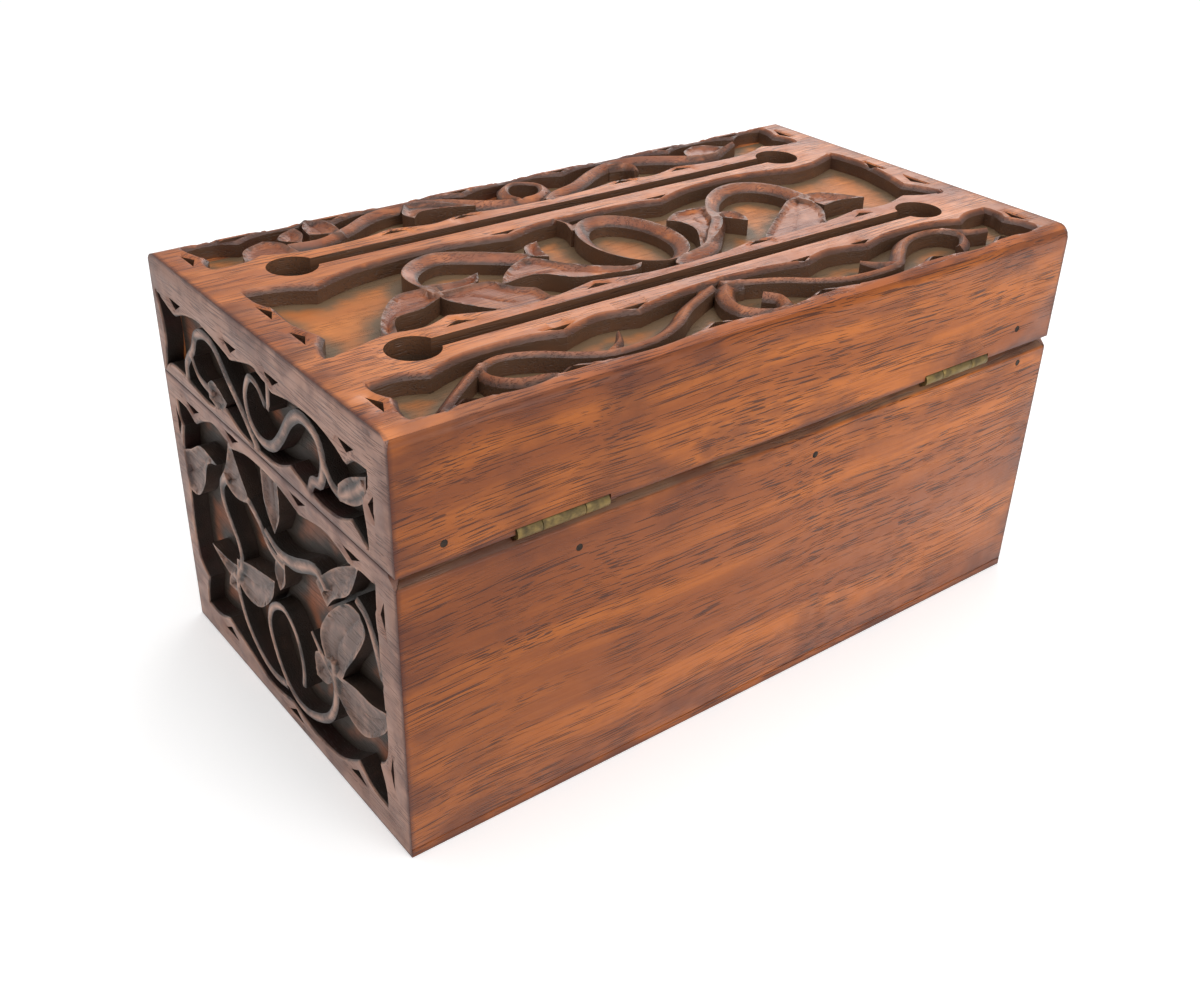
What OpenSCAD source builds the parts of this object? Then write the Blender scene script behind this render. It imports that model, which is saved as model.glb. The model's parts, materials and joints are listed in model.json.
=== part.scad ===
// A small hinged wooden box with pierced fretwork laid over plain boards.
// +X is the right-hand end, -Y the front and +Y the hinge side. The origin is
// the middle of the underside.

/* [Box] */
// Length over the two ends
box_l = 216; // [210:1:224]
// Depth from front to hinge side
box_w = 120.6; // [116:0.1:125]
// Height of the base, up to the seam
base_h = 79.3; // [78:0.1:82]
// Height of the lid, above the seam
lid_h = 33.3; // [32:0.1:35]
// Gap between the base and the lid
seam_gap = 0.2; // [0.1:0.05:0.4]

/* [Boards] */
// Thickness of the pierced outer layer
fret_t = 4.8; // [3:0.1:5]
// Thickness of the plain layer behind the fretwork
backing_t = 4.2; // [3:0.1:5]
// Thickness of the bottom board
bottom_t = 2.5; // [2:0.1:4]
// Radius of the lid's two long top edges
edge_r = 4; // [2:0.5:4.5]
// Chamfer on the top back edge of the base
chamfer = 3.2; // [3:0.1:3.6]

/* [Slots in the lid] */
// Width of each slot
slot_w = 4.8; // [3:0.1:6]
// Diameter of the round ends
slot_end_d = 13; // [10:0.5:14]
// Distance of the round ends from the middle
slot_reach = 82.5; // [70:0.5:84]

/* [Hinges] */
// Length of each hinge
hinge_l = 25.4; // [20:0.1:30]
// Width of each leaf, behind the barrel
leaf_w = 7; // [6:0.1:7.5]
// Thickness of each leaf
leaf_t = 0.9; // [0.7:0.1:1]
// Diameter of the barrel
barrel_d = 3.5; // [3.2:0.1:3.8]
// Diameter of the pin
pin_d = 1.6; // [1.2:0.1:1.8]
// How far the pin's axis lies inside the back face
axis_inset = 1.2; // [1:0.05:1.3]
// Middle of each hinge along the box
hinge_x = [-68, 65]; // [-80:1:80]
// Share of the barrel that belongs to the lid's leaf
middle_share = 0.46; // [0.3:0.01:0.5]

/* [Hidden] */
$fn = 48;

box_h = base_h + lid_h;
wall = fret_t + backing_t;
end_x = box_l / 2;
back_y = box_w / 2;
base_top = base_h - seam_gap / 2;
lid_bottom = base_h + seam_gap / 2;
axis_y = back_y - axis_inset;
barrel_r = barrel_d / 2;
groove_r = barrel_r + 0.3;
knuckle_gap = 0.15;
run_clearance = 0.05;
saw_kerf = 0.4;
far = 400;
wood = "sienna";
carved_wood = "saddlebrown";
brass = "darkkhaki";

// ---- Curves ----

// Point at fraction t of a smooth curve from b to c, with a before and d after
function curve_point(a, b, c, d, t) =
    0.5 * (2 * b + (c - a) * t + (2 * a - 5 * b + 4 * c - d) * t * t
    + (3 * b - a - 3 * c + d) * t * t * t);

// A smooth run through the points p, in `steps` pieces each, without its last point
function smooth(p, steps = 3) = let (e = len(p) - 1) [
    for (i = [0 : e - 1])
        for (k = [0 : (e == 1 ? 0 : steps - 1)])
            curve_point(p[max(i - 1, 0)], p[i], p[i + 1], p[min(i + 2, e)], k / steps)
];

// A closed outline of stretches that are smooth, and meet in sharp corners
function outline(stretches) = [for (s = stretches) each smooth(s)];

// The same stretches turned over left to right, and run the other way
function flipped(stretches) = [
    for (i = [len(stretches) - 1 : -1 : 0])
        [for (k = [len(stretches[i]) - 1 : -1 : 0]) [-stretches[i][k].x, stretches[i][k].y]]
];

// Unit vector to the left of the run c at its point i
function left_of(c, i) =
    let (d = c[min(i + 1, len(c) - 1)] - c[max(i - 1, 0)]) [-d.y, d.x] / norm(d);

// A value at fraction t along the short list w
function blend_of(w, t) =
    let (s = t * (len(w) - 1), i = min(floor(s), len(w) - 2)) w[i] + (w[i + 1] - w[i]) * (s - i);

// A strap along the points p, whose width follows the list w. It may cross itself.
module strap(p, w) {
    c = concat(smooth(p), [p[len(p) - 1]]);
    e = len(c) - 1;
    half = [for (i = [0 : e]) left_of(c, i) * blend_of(w, i / e) / 2];
    for (i = [0 : e - 1])
        polygon([c[i] + half[i], c[i + 1] + half[i + 1], c[i + 1] - half[i + 1], c[i] - half[i]]);
}

// A small triangular chip with its point at p, opening away along d by `deep`
module chip(p, d, wide = 8, deep = 2) {
    side = [-d.y, d.x];
    polygon([p, p + d * deep + side * wide / 2, p + d * deep - side * wide / 2]);
}

// What a panel has sawn out: its opening less the straps and leaves, and its chips.
// Growing and shrinking it closes necks of wood, and then cuts, thinner than the saw.
module sawn(opening, straps, leaves, chips) {
    offset(delta = saw_kerf / 2)
        offset(delta = -saw_kerf)
            offset(delta = saw_kerf / 2)
            union() {
                difference() {
                    polygon(outline(opening));
                    for (s = straps) strap(s[0], s[1]);
                    for (f = leaves) polygon(outline(f));
                }
                for (c = chips) chip(c[0], c[1], c[2], c[3]);
            }
}

// ---- Patterns: each opening runs round in stretches between its cusps ----

band_half = [
    [[0, -10.5], [15, -9.5], [27.5, -7]],
    [[27.5, -7], [38, -9.5], [49.5, -6.5]],
    [[49.5, -6.5], [60, -9], [75, -9], [86, -5.5]],
    [[86, -5.5], [92, -8], [99, -8]],
    [[99, -8], [98.8, -4], [97, -0.5]],
    [[97, -0.5], [98.8, 4], [99.5, 8.5]],
    [[99.5, 8.5], [92, 9.5], [86, 6.2]],
    [[86, 6.2], [80, 9], [72, 10], [64.5, 9], [58.5, 6.2]],
    [[58.5, 6.2], [50, 9], [38, 10], [26, 9], [17.5, 6.2]],
    [[17.5, 6.2], [10, 9], [0, 10]]
];
band_opening = concat(band_half, flipped(band_half));
band_chips = [
    for (s = [-1, 1]) each [
        for (x = [17.5, 58.5, 86]) [[s * x, 7.6], [0, 1], 8, 2],
        for (x = [27.5, 49.5]) [[s * x, -8.4], [0, -1], 8, 2]
    ]
];
band_end_chips = [for (s = [-1, 1]) [[s * 100.5, 0], [s, 0], 8, 2]];

front_band_straps = [
    [[[-77, -4], [-68, -5], [-58, -0.5], [-48, 5.3], [-36.5, 7], [-26.5, 4.5], [-15, -4],
        [-4.5, -7], [3, -4.7], [6, 2], [0.5, 7.2], [-5, 5], [-8, -1.5], [-7, -6]], [3, 4, 4, 3]],
    [[[0, -11], [5.3, -7.2], [15, -3.8], [26.7, 3], [36.7, 6.3], [46.7, 5], [59, -2],
        [67.4, -4], [75, -1.2], [82, 2]], [4, 4, 4, 1.5]],
    [[[33, 5], [38.5, 3.5], [39.5, -0.5], [37.5, -3.5]], [4, 3, 1]]
];
front_band_leaves = [
    [[[-91, -9], [-88, -1.2], [-81, 2.4]], [[-81, 2.4], [-77.5, -1], [-76.5, -9]],
        [[-76.5, -9], [-91, -9]]],
    [[[-73, -3.5], [-77.3, 0.6], [-75, 4.5], [-70, 7]], [[-70, 7], [-70, 2], [-73, -3.5]]],
    [[[-69, 0], [-68, 6], [-65, 11]], [[-65, 11], [-61, 8], [-60, 4], [-61, -3]],
        [[-61, -3], [-69, 0]]],
    [[[-36.5, 7], [-40.5, 1], [-39.5, -3.7]], [[-39.5, -3.7], [-35, 0], [-28, -1], [-20, -4]],
        [[-20, -4], [-28, 5], [-36.5, 7]]],
    [[[59.5, -2], [62, 3], [67.4, 5.6]], [[67.4, 5.6], [72, 4.5], [76, 0]],
        [[76, 0], [68, -4], [59.5, -2]]]
];

back_band_straps = [
    [[[-93, 9.5], [-83, 1.5], [-76.6, -3], [-69.4, -5.6], [-61, -2.8], [-53.7, 2.6],
        [-46.6, 6], [-35, 6], [-25, 2.2], [-16.6, -3.5], [-4, -9.5]], [3, 4, 4, 4]],
    [[[-75, -4], [-76, 2], [-72, 6.5], [-65, 8.5], [-63, 10]], [3, 3, 3]],
    [[[-46, 5.5], [-42, 3], [-39.5, -0.5]], [3.5, 1]],
    [[[4.6, -8.1], [0, -8], [-5, -1.7], [-6, 5], [-1, 10], [4, 9.5], [6.5, 5], [4, 1]], [5, 5, 4]],
    [[[0, -10.5], [4.6, -8.1], [14, -4], [22.4, 2], [31.7, 5.5], [46, 5.4], [53, 0.4], [60.3, -4.6],
        [68, -6.6], [75.3, -5], [78, 1], [74, 5.4], [70, 7.2]], [4, 4, 4, 2.5]],
    [[[46, 5], [42, 3], [39, 0]], [3.5, 1]],
    [[[76, -4.5], [79.6, -1], [83, 1], [87, 2.2]], [3, 2, 1.5]]
];

centre_opening = [
    [[-99, 21], [-90, 19.2], [-83.5, 15.5]],
    [[-83.5, 15.5], [-72, 19.8], [-58, 21.7], [-45, 21.5], [-25, 18]],
    [[-25, 18], [-14, 21], [0, 21], [15, 20.3], [26, 18]],
    [[26, 18], [38, 21.7], [52, 23], [65, 22], [79, 18.5]],
    [[79, 18.5], [88, 19.2], [99.5, 23]],
    [[99.5, 23], [100.5, 12], [98.9, 3]],
    [[98.9, 3], [97.5, -3], [95, -9.7]],
    [[95, -9.7], [98, -15], [100, -20]],
    [[100, -20], [94, -18.6], [88, -15.4]],
    [[88, -15.4], [76.7, -18.3], [66.7, -16.6]],
    [[66.7, -16.6], [55, -18.6], [40, -19.2], [26.7, -18.3]],
    [[26.7, -18.3], [14, -20.6], [0, -21], [-13, -20.4], [-26.6, -17.2]],
    [[-26.6, -17.2], [-40, -20], [-53, -20], [-67, -15.3]],
    [[-67, -15.3], [-75, -18.2], [-84, -16.9], [-92.6, -19], [-100, -20.8]],
    [[-100, -20.8], [-98, -15], [-95, -10.4]],
    [[-95, -10.4], [-97.3, -2], [-97.4, 4], [-97, 10]],
    [[-97, 10], [-98.7, 14], [-99, 21]]
];
centre_chips = [
    for (x = [-66.5, -26.5, 27, 66.7]) [[x, -19.6], [0, -1], 8, 2],
    for (x = [-25.5, 27]) [[x, 20.4], [0, 1], 8, 2],
    for (y = [8, -8.5]) each [[[-98.8, y], [-1, 0], 8, 2], [[100.8, y], [1, 0], 8, 2]]
];
ring_across = 11;
ring_along = 16.3;
centre_straps = [
    [[[-61, -3], [-62, 6.5], [-60, 12], [-54.5, 16], [-48, 16.5], [-38, 10], [-30, 3]], [4, 4, 4]],
    [[for (a = [0 : 24 : 360]) [0.5 + ring_across * cos(a), ring_along * sin(a)]], [4, 4]],
    [[[0, -22], [3, -19.7], [14.6, -16], [22.4, -9], [29.6, -2], [33, 4], [40, 12], [49, 16.7],
        [57, 15.3], [62, 8], [62.5, -3]], [4, 4, 4]],
    [[[-8, 12], [-6, 18], [-7, 23]], [4, 4]]
];
centre_leaves = [
    [[[-85, -18], [-79.4, -8.3], [-72, -0.4], [-66, 1], [-60, -0.4]], [[-60, -0.4], [-61, -5.4]],
        [[-61, -5.4], [-69, -9.7], [-77, -11], [-81, -18]], [[-81, -18], [-85, -18]]],
    [[[-62.3, -3], [-55, -3.6], [-47.3, -4.4], [-44.4, -10], [-40, -14]], [[-40, -14], [-40, -22]],
        [[-40, -22], [-53, -22]], [[-53, -22], [-58, -16], [-62, -9], [-62.3, -3]]],
    [[[-62, 2], [-53.7, 0], [-46.6, 2]], [[-46.6, 2], [-50.9, -3.5], [-62, -4]],
        [[-62, -4], [-62, 2]]],
    [[[-30, 4], [-27, 10], [-21.9, 11.7]], [[-21.9, 11.7], [-24.5, 6], [-25.5, 1]],
        [[-25.5, 1], [-30, 4]]],
    [[[-46, -8], [-41.6, -2.6], [-35, 2.2], [-30, 3], [-23.7, -6], [-13.7, -14.7], [-8, -15]],
        [[-8, -15], [-12, -18], [-19.4, -16.5], [-28, -14], [-35, -7], [-46, -8]]],
    [[[11, -16], [19, -5], [19.6, 1.7], [17, 5.3]], [[17, 5.3], [24, 9], [34, 8]],
        [[34, 8], [31, -2], [22, -10], [11, -16]]],
    [[[30, 1], [35, 2.2], [38, 0.3]], [[38, 0.3], [37.6, -4], [36, -7]], [[36, -7], [30, 1]]],
    [[[64, 0], [57, -1], [46, -8.3], [33, -17.6], [30, -21]], [[30, -21], [52, -21]],
        [[52, -21], [59.6, -12.6], [63, -4], [64, 0]]],
    [[[61, 0], [70, -1], [78, -11]], [[78, -11], [70, -9], [63, -9.7]], [[63, -9.7], [61, 0]]]
];

lid_end_opening = [
    [[-58, 102.5], [-52, 100.5], [-47, 99]],
    [[-47, 99], [-40, 101.7], [-31, 102.8], [-19, 101], [-14, 99.8]],
    [[-14, 99.8], [-5, 102.5], [0, 102.8], [8, 100.3]],
    [[8, 100.3], [17, 102], [28, 102.4], [36.5, 100.5], [41.8, 98]],
    [[41.8, 98], [45.7, 100.5], [51, 101]],
    [[51, 101], [50.5, 97], [47.6, 93.2]],
    [[47.6, 93.2], [49, 87], [49.5, 81.3]],
    [[49.5, 81.3], [46, 83.5], [42.6, 85.2]],
    [[42.6, 85.2], [36, 82.5], [26.5, 82], [13.8, 84.8]],
    [[13.8, 84.8], [7, 81.8], [-2, 80.9], [-12.8, 81.6], [-20.4, 84.5]],
    [[-20.4, 84.5], [-31, 81.5], [-46.6, 83.6], [-54.3, 83.2], [-58, 81.5]],
    [[-58, 81.5], [-55.8, 88.6], [-55.8, 95], [-58, 102.5]]
];
lid_end_chips = [
    for (p = [[-46.3, 101], [-14, 101.8], [8, 102.3], [42, 101]]) [p, [0, 1], 7, 2.2],
    [[50, 92.5], [1, 0], 6, 2.4]
];
lid_end_straps = [
    [[[-44, 80.5], [-44, 87], [-38.5, 93], [-35.5, 98], [-30, 100.2], [-24, 98.8], [-18, 93], [-12, 88],
        [-8, 84], [-4, 80]], [2.5, 2.5, 3, 3]],
    [[[-40, 92], [-38.5, 88.6], [-35.5, 86], [-29, 85]], [2, 2, 2.5]],
    [[[5.5, 104], [4, 95], [-0.5, 98.6], [-5, 99], [-8.4, 93], [-7, 87], [-2, 84], [4, 85], [9, 89.3],
        [15, 96.5], [21, 100], [28, 98], [30, 92.5], [28, 86.8], [24, 85.2], [22, 81]], [2, 2, 3, 3.5, 2.5]],
    [[[30, 94], [33.4, 89.4], [38, 88.6], [44, 92.5], [48.5, 96]], [2.5, 3, 3]]
];
lid_end_leaves = [
    [[[-31, 87], [-27, 89], [-20, 86]], [[-20, 86], [-24, 82], [-31, 83]], [[-31, 83], [-31, 87]]],
    [[[37, 91], [42, 95], [50, 99]], [[50, 99], [49, 93], [44, 89], [37, 87]], [[37, 87], [37, 91]]]
];

base_end_opening = [
    [[-54, 72.8], [-47.6, 72.7], [-42.8, 70.3]],
    [[-42.8, 70.3], [-38, 73], [-30, 75.6], [-19.8, 73.2]],
    [[-19.8, 73.2], [-10, 75.5], [4, 75.3], [16.3, 72.4]],
    [[16.3, 72.4], [27, 74.5], [34, 73.8], [40.8, 71.4]],
    [[40.8, 71.4], [45, 72.8], [51, 72.8]],
    [[51, 72.8], [50.8, 68], [50.2, 65.3]],
    [[50.2, 65.3], [51, 50], [51.9, 30], [50, 23], [47.2, 20.3]],
    [[47.2, 20.3], [49.5, 14], [49.7, 8.4]],
    [[49.7, 8.4], [42.4, 9.2], [36.3, 13]],
    [[36.3, 13], [26, 6.8], [12, 5], [0, 7]],
    [[0, 7], [-12, 4.8], [-25, 7.8], [-37.6, 11.4]],
    [[-37.6, 11.4], [-45, 8.7], [-52.3, 8.4]],
    [[-52.3, 8.4], [-51.5, 13], [-49.2, 18.7]],
    [[-49.2, 18.7], [-54, 22.5], [-55, 32], [-54, 45], [-54.2, 58], [-52, 66]],
    [[-52, 66], [-53.7, 68], [-54, 72.8]]
];
base_end_chips = [
    for (p = [[-44, 72.8], [-20, 75.1], [15.2, 74.6], [40.5, 73.4]]) [p, [0, 1], 8, 2],
    for (p = [[35, 8.6], [1, 4.8], [-38, 8]]) [p, [0, -1], 8, 2.4],
    [[52.2, 66], [1, 0], 8, 1.8],
    [[52, 21], [1, 0], 11, 1.4],
    [[-54, 66], [-1, 0], 10, 2.6]
];
base_end_straps = [
    [[[-27, 62], [-31, 58], [-31.3, 53], [-28.7, 48.7], [-24.5, 43], [-24, 37], [-28, 31], [-28.7, 25.3],
        [-25.5, 17], [-18.7, 11], [-11, 8.7], [-3, 10]], [3, 2.5, 2.5, 2.5]],
    [[[7.7, 17], [8.6, 24], [6.3, 32], [0.2, 36.4], [-7, 33], [-10, 26], [-7.6, 18], [-2.6, 11.4],
        [4, 8.5], [12, 10], [21.3, 16], [25.8, 25], [26, 36]], [2, 2.2, 2.5, 3]],
    [[[-14.8, 61.2], [-9, 57.6], [-4, 52.5], [3, 51]], [3, 2.5, 2.5]],
    [[[26, 31], [20, 35], [15.8, 39.2]], [3, 1.5]],
    [[[41, 63], [45, 61], [48, 56], [51.5, 47]], [3, 3, 4]],
    [[[-6, 57], [1, 54], [9, 55], [21, 60], [25.5, 57]], [2, 4, 3]]
];
base_end_leaves = [
    [[[-56, 57], [-49.8, 59.8], [-42, 64], [-32.6, 62.8]], [[-32.6, 62.8], [-39, 60], [-43, 52],
        [-48.7, 46], [-56, 45]], [[-56, 45], [-56, 57]]],
    [[[-30, 61], [-26, 66.4], [-22, 75.5]], [[-22, 75.5], [-18, 68], [-13, 61]],
        [[-13, 61], [-22, 58.5], [-30, 61]]],
    [[[-26, 35], [-33, 33.5], [-44, 33]], [[-44, 33], [-35, 29], [-28, 29.5]],
        [[-28, 29.5], [-26, 35]]],
    [[[-30, 31], [-33.5, 28], [-35, 24.5]], [[-35, 24.5], [-30, 25], [-27.5, 28]],
        [[-27.5, 28], [-30, 31]]],
    [[[-27, 37], [-17.6, 40], [-3.5, 43]], [[-3.5, 43], [-6.4, 36], [-14.8, 28.4], [-23, 27],
        [-28, 29]], [[-28, 29], [-27, 37]]],
    [[[24, 33], [20.5, 41], [25.8, 50.3], [35.8, 59.2], [42, 60]], [[42, 60], [44.3, 55.5],
        [39, 46.4], [33.6, 39.2], [30, 33]], [[30, 33], [24, 33]]],
    [[[25, 33], [36.9, 35.6], [45, 36], [53, 38.5]], [[53, 38.5], [51, 32], [41.3, 23.7],
        [34, 23.4], [26, 28]], [[26, 28], [25, 33]]],
    [[[25, 36], [17, 34], [16.5, 26.4]], [[16.5, 26.4], [22, 27], [26, 31]], [[26, 31], [25, 36]]],
    [[[-4, 77], [-4, 66], [0, 59]], [[0, 59], [4, 66], [5, 77]], [[5, 77], [-4, 77]]],
    [[[21, 57], [25, 61], [33, 67.5], [44, 74]], [[44, 74], [38, 63], [30, 57], [26, 52.5]],
        [[26, 52.5], [21, 57]]],
    [[[0, 53], [-2.5, 47], [-0.5, 42]], [[-0.5, 42], [3, 46], [4, 53]], [[4, 53], [0, 53]]]
];

// ---- Boards ----

// Removes what lies beyond a 45 degree mitre that starts at a board's outer arris.
// The board's outer face lies on z = 0 and the arris at x = 0, with waste on -X.
module mitre_waste() {
    rotate([0, 135, 0]) translate([0, -far / 2, -far / 2]) cube([far / 2, far, far]);
}

// A slab in its own plane: outer face at z = -skin, from lo to hi, t thick
module slab(lo, hi, skin, t) {
    translate([lo.x, lo.y, -skin - t]) cube([hi.x - lo.x, hi.y - lo.y, t]);
}

module end_mitre() { translate([back_y, 0, 0]) mirror([1, 0, 0]) mitre_waste(); }
module top_mitre() { translate([0, box_h, 0]) rotate([0, 0, -90]) mitre_waste(); }

// Turns work drawn in (y, z) onto the right-hand end, and the left by mirroring
module on_right() { translate([end_x, 0, 0]) rotate([90, 0, 90]) children(); }
module on_left() { mirror([1, 0, 0]) on_right() children(); }
// Turns work drawn in (x, z) onto the front
module on_front() { translate([0, -back_y, 0]) rotate([90, 0, 0]) children(); }
// Turns work drawn in (-x, -y) onto the top
module on_top() { translate([0, 0, box_h]) rotate([0, 0, 180]) children(); }

// Waste outside the rounded long edges at the top of the lid
module rounded_edges_waste() {
    for (s = [-1, 1]) difference() {
        translate([-far / 2, s * (back_y - edge_r / 2 + 0.5) - (edge_r + 1) / 2, box_h - edge_r])
            cube([far, edge_r + 1, edge_r + 1]);
        translate([-far / 2, s * (back_y - edge_r), box_h - edge_r])
            rotate([0, 90, 0]) cylinder(r = edge_r, h = far);
    }
}

// The lid's rounded edges, as they meet an end drawn in its own plane
module end_rounding() {
    for (s = [-1, 1]) difference() {
        translate([s * (back_y - edge_r / 2 + 0.5) - (edge_r + 1) / 2, box_h - edge_r, -far / 2])
            cube([edge_r + 1, edge_r + 1, far]);
        translate([s * (back_y - edge_r), box_h - edge_r, -far / 2]) cylinder(r = edge_r, h = far);
    }
}

module base_end_holes() { sawn(base_end_opening, base_end_straps, base_end_leaves, base_end_chips); }

module base_end_fret() {
    difference() {
        slab([-back_y, 0], [back_y, base_top], 0, fret_t);
        translate([0, 0, -fret_t - 1]) linear_extrude(fret_t + 2) base_end_holes();
        end_mitre();
        translate([back_y, base_top - chamfer, -far / 2]) rotate([0, 0, 45])
            cube([2 * chamfer, 2 * chamfer, far]);
    }
}

module base_end_board() {
    difference() {
        slab([-back_y + fret_t, bottom_t], [back_y, base_top], fret_t, backing_t);
        end_mitre();
    }
}

module lid_end_fret() {
    difference() {
        slab([-back_y, lid_bottom], [back_y, box_h], 0, fret_t);
        translate([0, 0, -fret_t - 1]) linear_extrude(fret_t + 2)
            sawn(lid_end_opening, lid_end_straps, lid_end_leaves, lid_end_chips);
        end_mitre();
        top_mitre();
        end_rounding();
    }
}

module lid_end_board() {
    difference() {
        slab([-back_y + fret_t, lid_bottom], [back_y, box_h], fret_t, backing_t);
        end_mitre();
        top_mitre();
    }
}

// ---- Hinges, drawn about their own axis at x = 0 ----

// One knuckle of the barrel between two places along it
module knuckle(x0, x1) {
    translate([x0, 0, 0]) rotate([0, 90, 0]) cylinder(d = barrel_d, h = x1 - x0);
}

module pin_bore(d) {
    translate([-hinge_l, 0, 0]) rotate([0, 90, 0]) cylinder(d = d, h = 2 * hinge_l);
}

middle_half = hinge_l * middle_share / 2;
leaf_gap = barrel_r + 0.2;
screw_y = -leaf_gap - 3.6;
screw_x = 7.5;
screw_len = 8;
shank_r = 0.9;
head_r = 1.8;
pilot_r = shank_r + run_clearance;

// Countersink through a leaf that lies below z = 0, and the screw that fills it
module countersink() { translate([0, 0, -leaf_t]) cylinder(r1 = shank_r, r2 = head_r, h = leaf_t); }

module screw() {
    difference() {
        union() {
            countersink();
            translate([0, 0, -screw_len]) cylinder(r = shank_r, h = screw_len);
        }
        translate([-head_r - 1, -0.2, -0.35]) cube([2 * head_r + 2, 0.4, 1]);
    }
}

// Places its children at the two screws of a leaf
module at_screws() {
    for (s = [-1, 1]) translate([s * screw_x, screw_y, 0]) children();
}

// The leaf on the base: two outer knuckles, and a flat plate under the seam
module base_leaf() {
    difference() {
        union() {
            for (s = [0, 1]) mirror([s, 0, 0]) {
                knuckle(middle_half + knuckle_gap, hinge_l / 2);
                translate([middle_half + knuckle_gap, -leaf_gap, -seam_gap / 2 - leaf_t])
                    cube([hinge_l / 2 - middle_half - knuckle_gap, leaf_gap, leaf_t]);
            }
            translate([-hinge_l / 2, -leaf_gap - leaf_w, -seam_gap / 2 - leaf_t])
                cube([hinge_l, leaf_w, leaf_t]);
        }
        pin_bore(pin_d);
        translate([0, 0, -seam_gap / 2]) at_screws() countersink();
    }
}

// The leaf on the lid: the middle knuckle, and a flat plate above the seam
module lid_leaf() {
    difference() {
        union() {
            knuckle(-middle_half, middle_half);
            translate([-middle_half, -leaf_gap, seam_gap / 2])
                cube([2 * middle_half, leaf_gap, leaf_t]);
            translate([-hinge_l / 2, -leaf_gap - leaf_w, seam_gap / 2])
                cube([hinge_l, leaf_w, leaf_t]);
        }
        pin_bore(pin_d + 2 * run_clearance);
        mirror([0, 0, 1]) translate([0, 0, -seam_gap / 2]) at_screws() countersink();
    }
}

module hinge_pin() {
    translate([-hinge_l / 2, 0, 0]) rotate([0, 90, 0]) cylinder(d = pin_d, h = hinge_l);
}

module at_hinge(i) { translate([hinge_x[i], axis_y, base_h]) children(); }

// What a hinge cuts out of the boards: a groove round the barrel, a leaf's bed, and pilots
module hinge_bed(up) {
    for (i = [0, 1]) at_hinge(i) mirror([0, 0, up ? 0 : 1]) {
        translate([-hinge_l / 2 - 0.4, 0, 0]) rotate([0, 90, 0])
            cylinder(r = groove_r, h = hinge_l + 0.8);
        translate([-hinge_l / 2, -leaf_gap - leaf_w, -1])
            cube([hinge_l, leaf_w + leaf_gap, leaf_t + seam_gap / 2 + 1]);
        translate([0, 0, seam_gap / 2]) at_screws() cylinder(r = pilot_r, h = screw_len + 0.5);
    }
}

// ---- Panel pins in the two back boards, as (x, z) ----

base_pin_places = [[60.5, 69.7], [-15, 69.7], [-96, 74]];
lid_pin_places = [[96, 84], [-92.5, 85.4]];
nail_r = 0.5;
nail_head_r = 0.9;
nail_head_t = 0.6;
nail_len = 8;

module nail(clearance = 0) {
    rotate([90, 0, 0]) {
        cylinder(r = nail_head_r, h = nail_head_t);
        cylinder(r = nail_r + clearance, h = nail_len + 4 * clearance);
    }
}

module at_places(places) { for (p = places) translate([p.x, back_y, p.y]) children(); }

// ---- Sub-parts ----

// Lies behind the fretwork on three sides; its fourth edge shows at the back, mitred
module bottom_board() {
    inner_x = end_x - fret_t;
    inner_y = back_y - fret_t;
    color(wood) linear_extrude(bottom_t) polygon([
        [-inner_x, -inner_y], [inner_x, -inner_y], [inner_x, inner_y],
        [end_x, back_y], [-end_x, back_y], [-inner_x, inner_y]
    ]);
}

module base_back_board() {
    color(wood) difference() {
        translate([-end_x, back_y - wall, bottom_t]) cube([box_l, wall, base_top - bottom_t]);
        for (s = [0, 1]) mirror([s, 0, 0]) translate([end_x, back_y, 0])
            rotate([0, 0, -45]) translate([0, -far, -1]) cube([far, 2 * far, box_h]);
        translate([-far / 2, back_y, base_top - chamfer]) rotate([45, 0, 0])
            cube([far, 2 * chamfer, 2 * chamfer]);
        hinge_bed(false);
        at_places(base_pin_places) nail(run_clearance);
    }
}

module base_front_board() {
    color(wood) translate([-end_x + wall, -back_y + fret_t, bottom_t])
        cube([box_l - 2 * wall, backing_t, base_top - bottom_t]);
}

panel_shift = 51.5;
panel_scale = 0.88;
module base_front_fretwork() {
    color(carved_wood) on_front() difference() {
        slab([-end_x + fret_t, 0], [end_x - fret_t, base_top], 0, fret_t);
        for (s = [0, 1]) mirror([s, 0, 0]) translate([panel_shift, base_h / 2, -fret_t - 1])
            linear_extrude(fret_t + 2) scale(panel_scale) translate([2, -base_h / 2]) base_end_holes();
    }
}

module base_left_board() { color(wood) on_left() base_end_board(); }
module base_right_board() { color(wood) on_right() base_end_board(); }
module base_left_fretwork() { color(carved_wood) on_left() base_end_fret(); }
module base_right_fretwork() { color(carved_wood) on_right() base_end_fret(); }

module lid_back_board() {
    color(wood) difference() {
        translate([-end_x, back_y - wall, lid_bottom]) cube([box_l, wall, box_h - lid_bottom]);
        for (s = [0, 1]) mirror([s, 0, 0]) translate([end_x, back_y, 0])
            rotate([0, 0, -45]) translate([0, -far, -1]) cube([far, 2 * far, box_h + 2]);
        translate([-far / 2, back_y, box_h]) rotate([45, 0, 0]) translate([0, -far, 0])
            cube([far, 2 * far, far]);
        rounded_edges_waste();
        hinge_bed(true);
        at_places(lid_pin_places) nail(run_clearance);
    }
}

module lid_front_board() {
    color(wood) translate([-end_x + wall, -back_y + fret_t, lid_bottom])
        cube([box_l - 2 * wall, backing_t, lid_h - seam_gap / 2 - wall]);
}

module lid_front_fretwork() {
    color(carved_wood) on_front() difference() {
        slab([-end_x + fret_t, lid_bottom], [end_x - fret_t, box_h - fret_t], 0, fret_t);
        translate([0, base_h + 13.9, -fret_t - 1]) linear_extrude(fret_t + 2)
            sawn(band_opening, front_band_straps, front_band_leaves, band_chips);
    }
}

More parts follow.
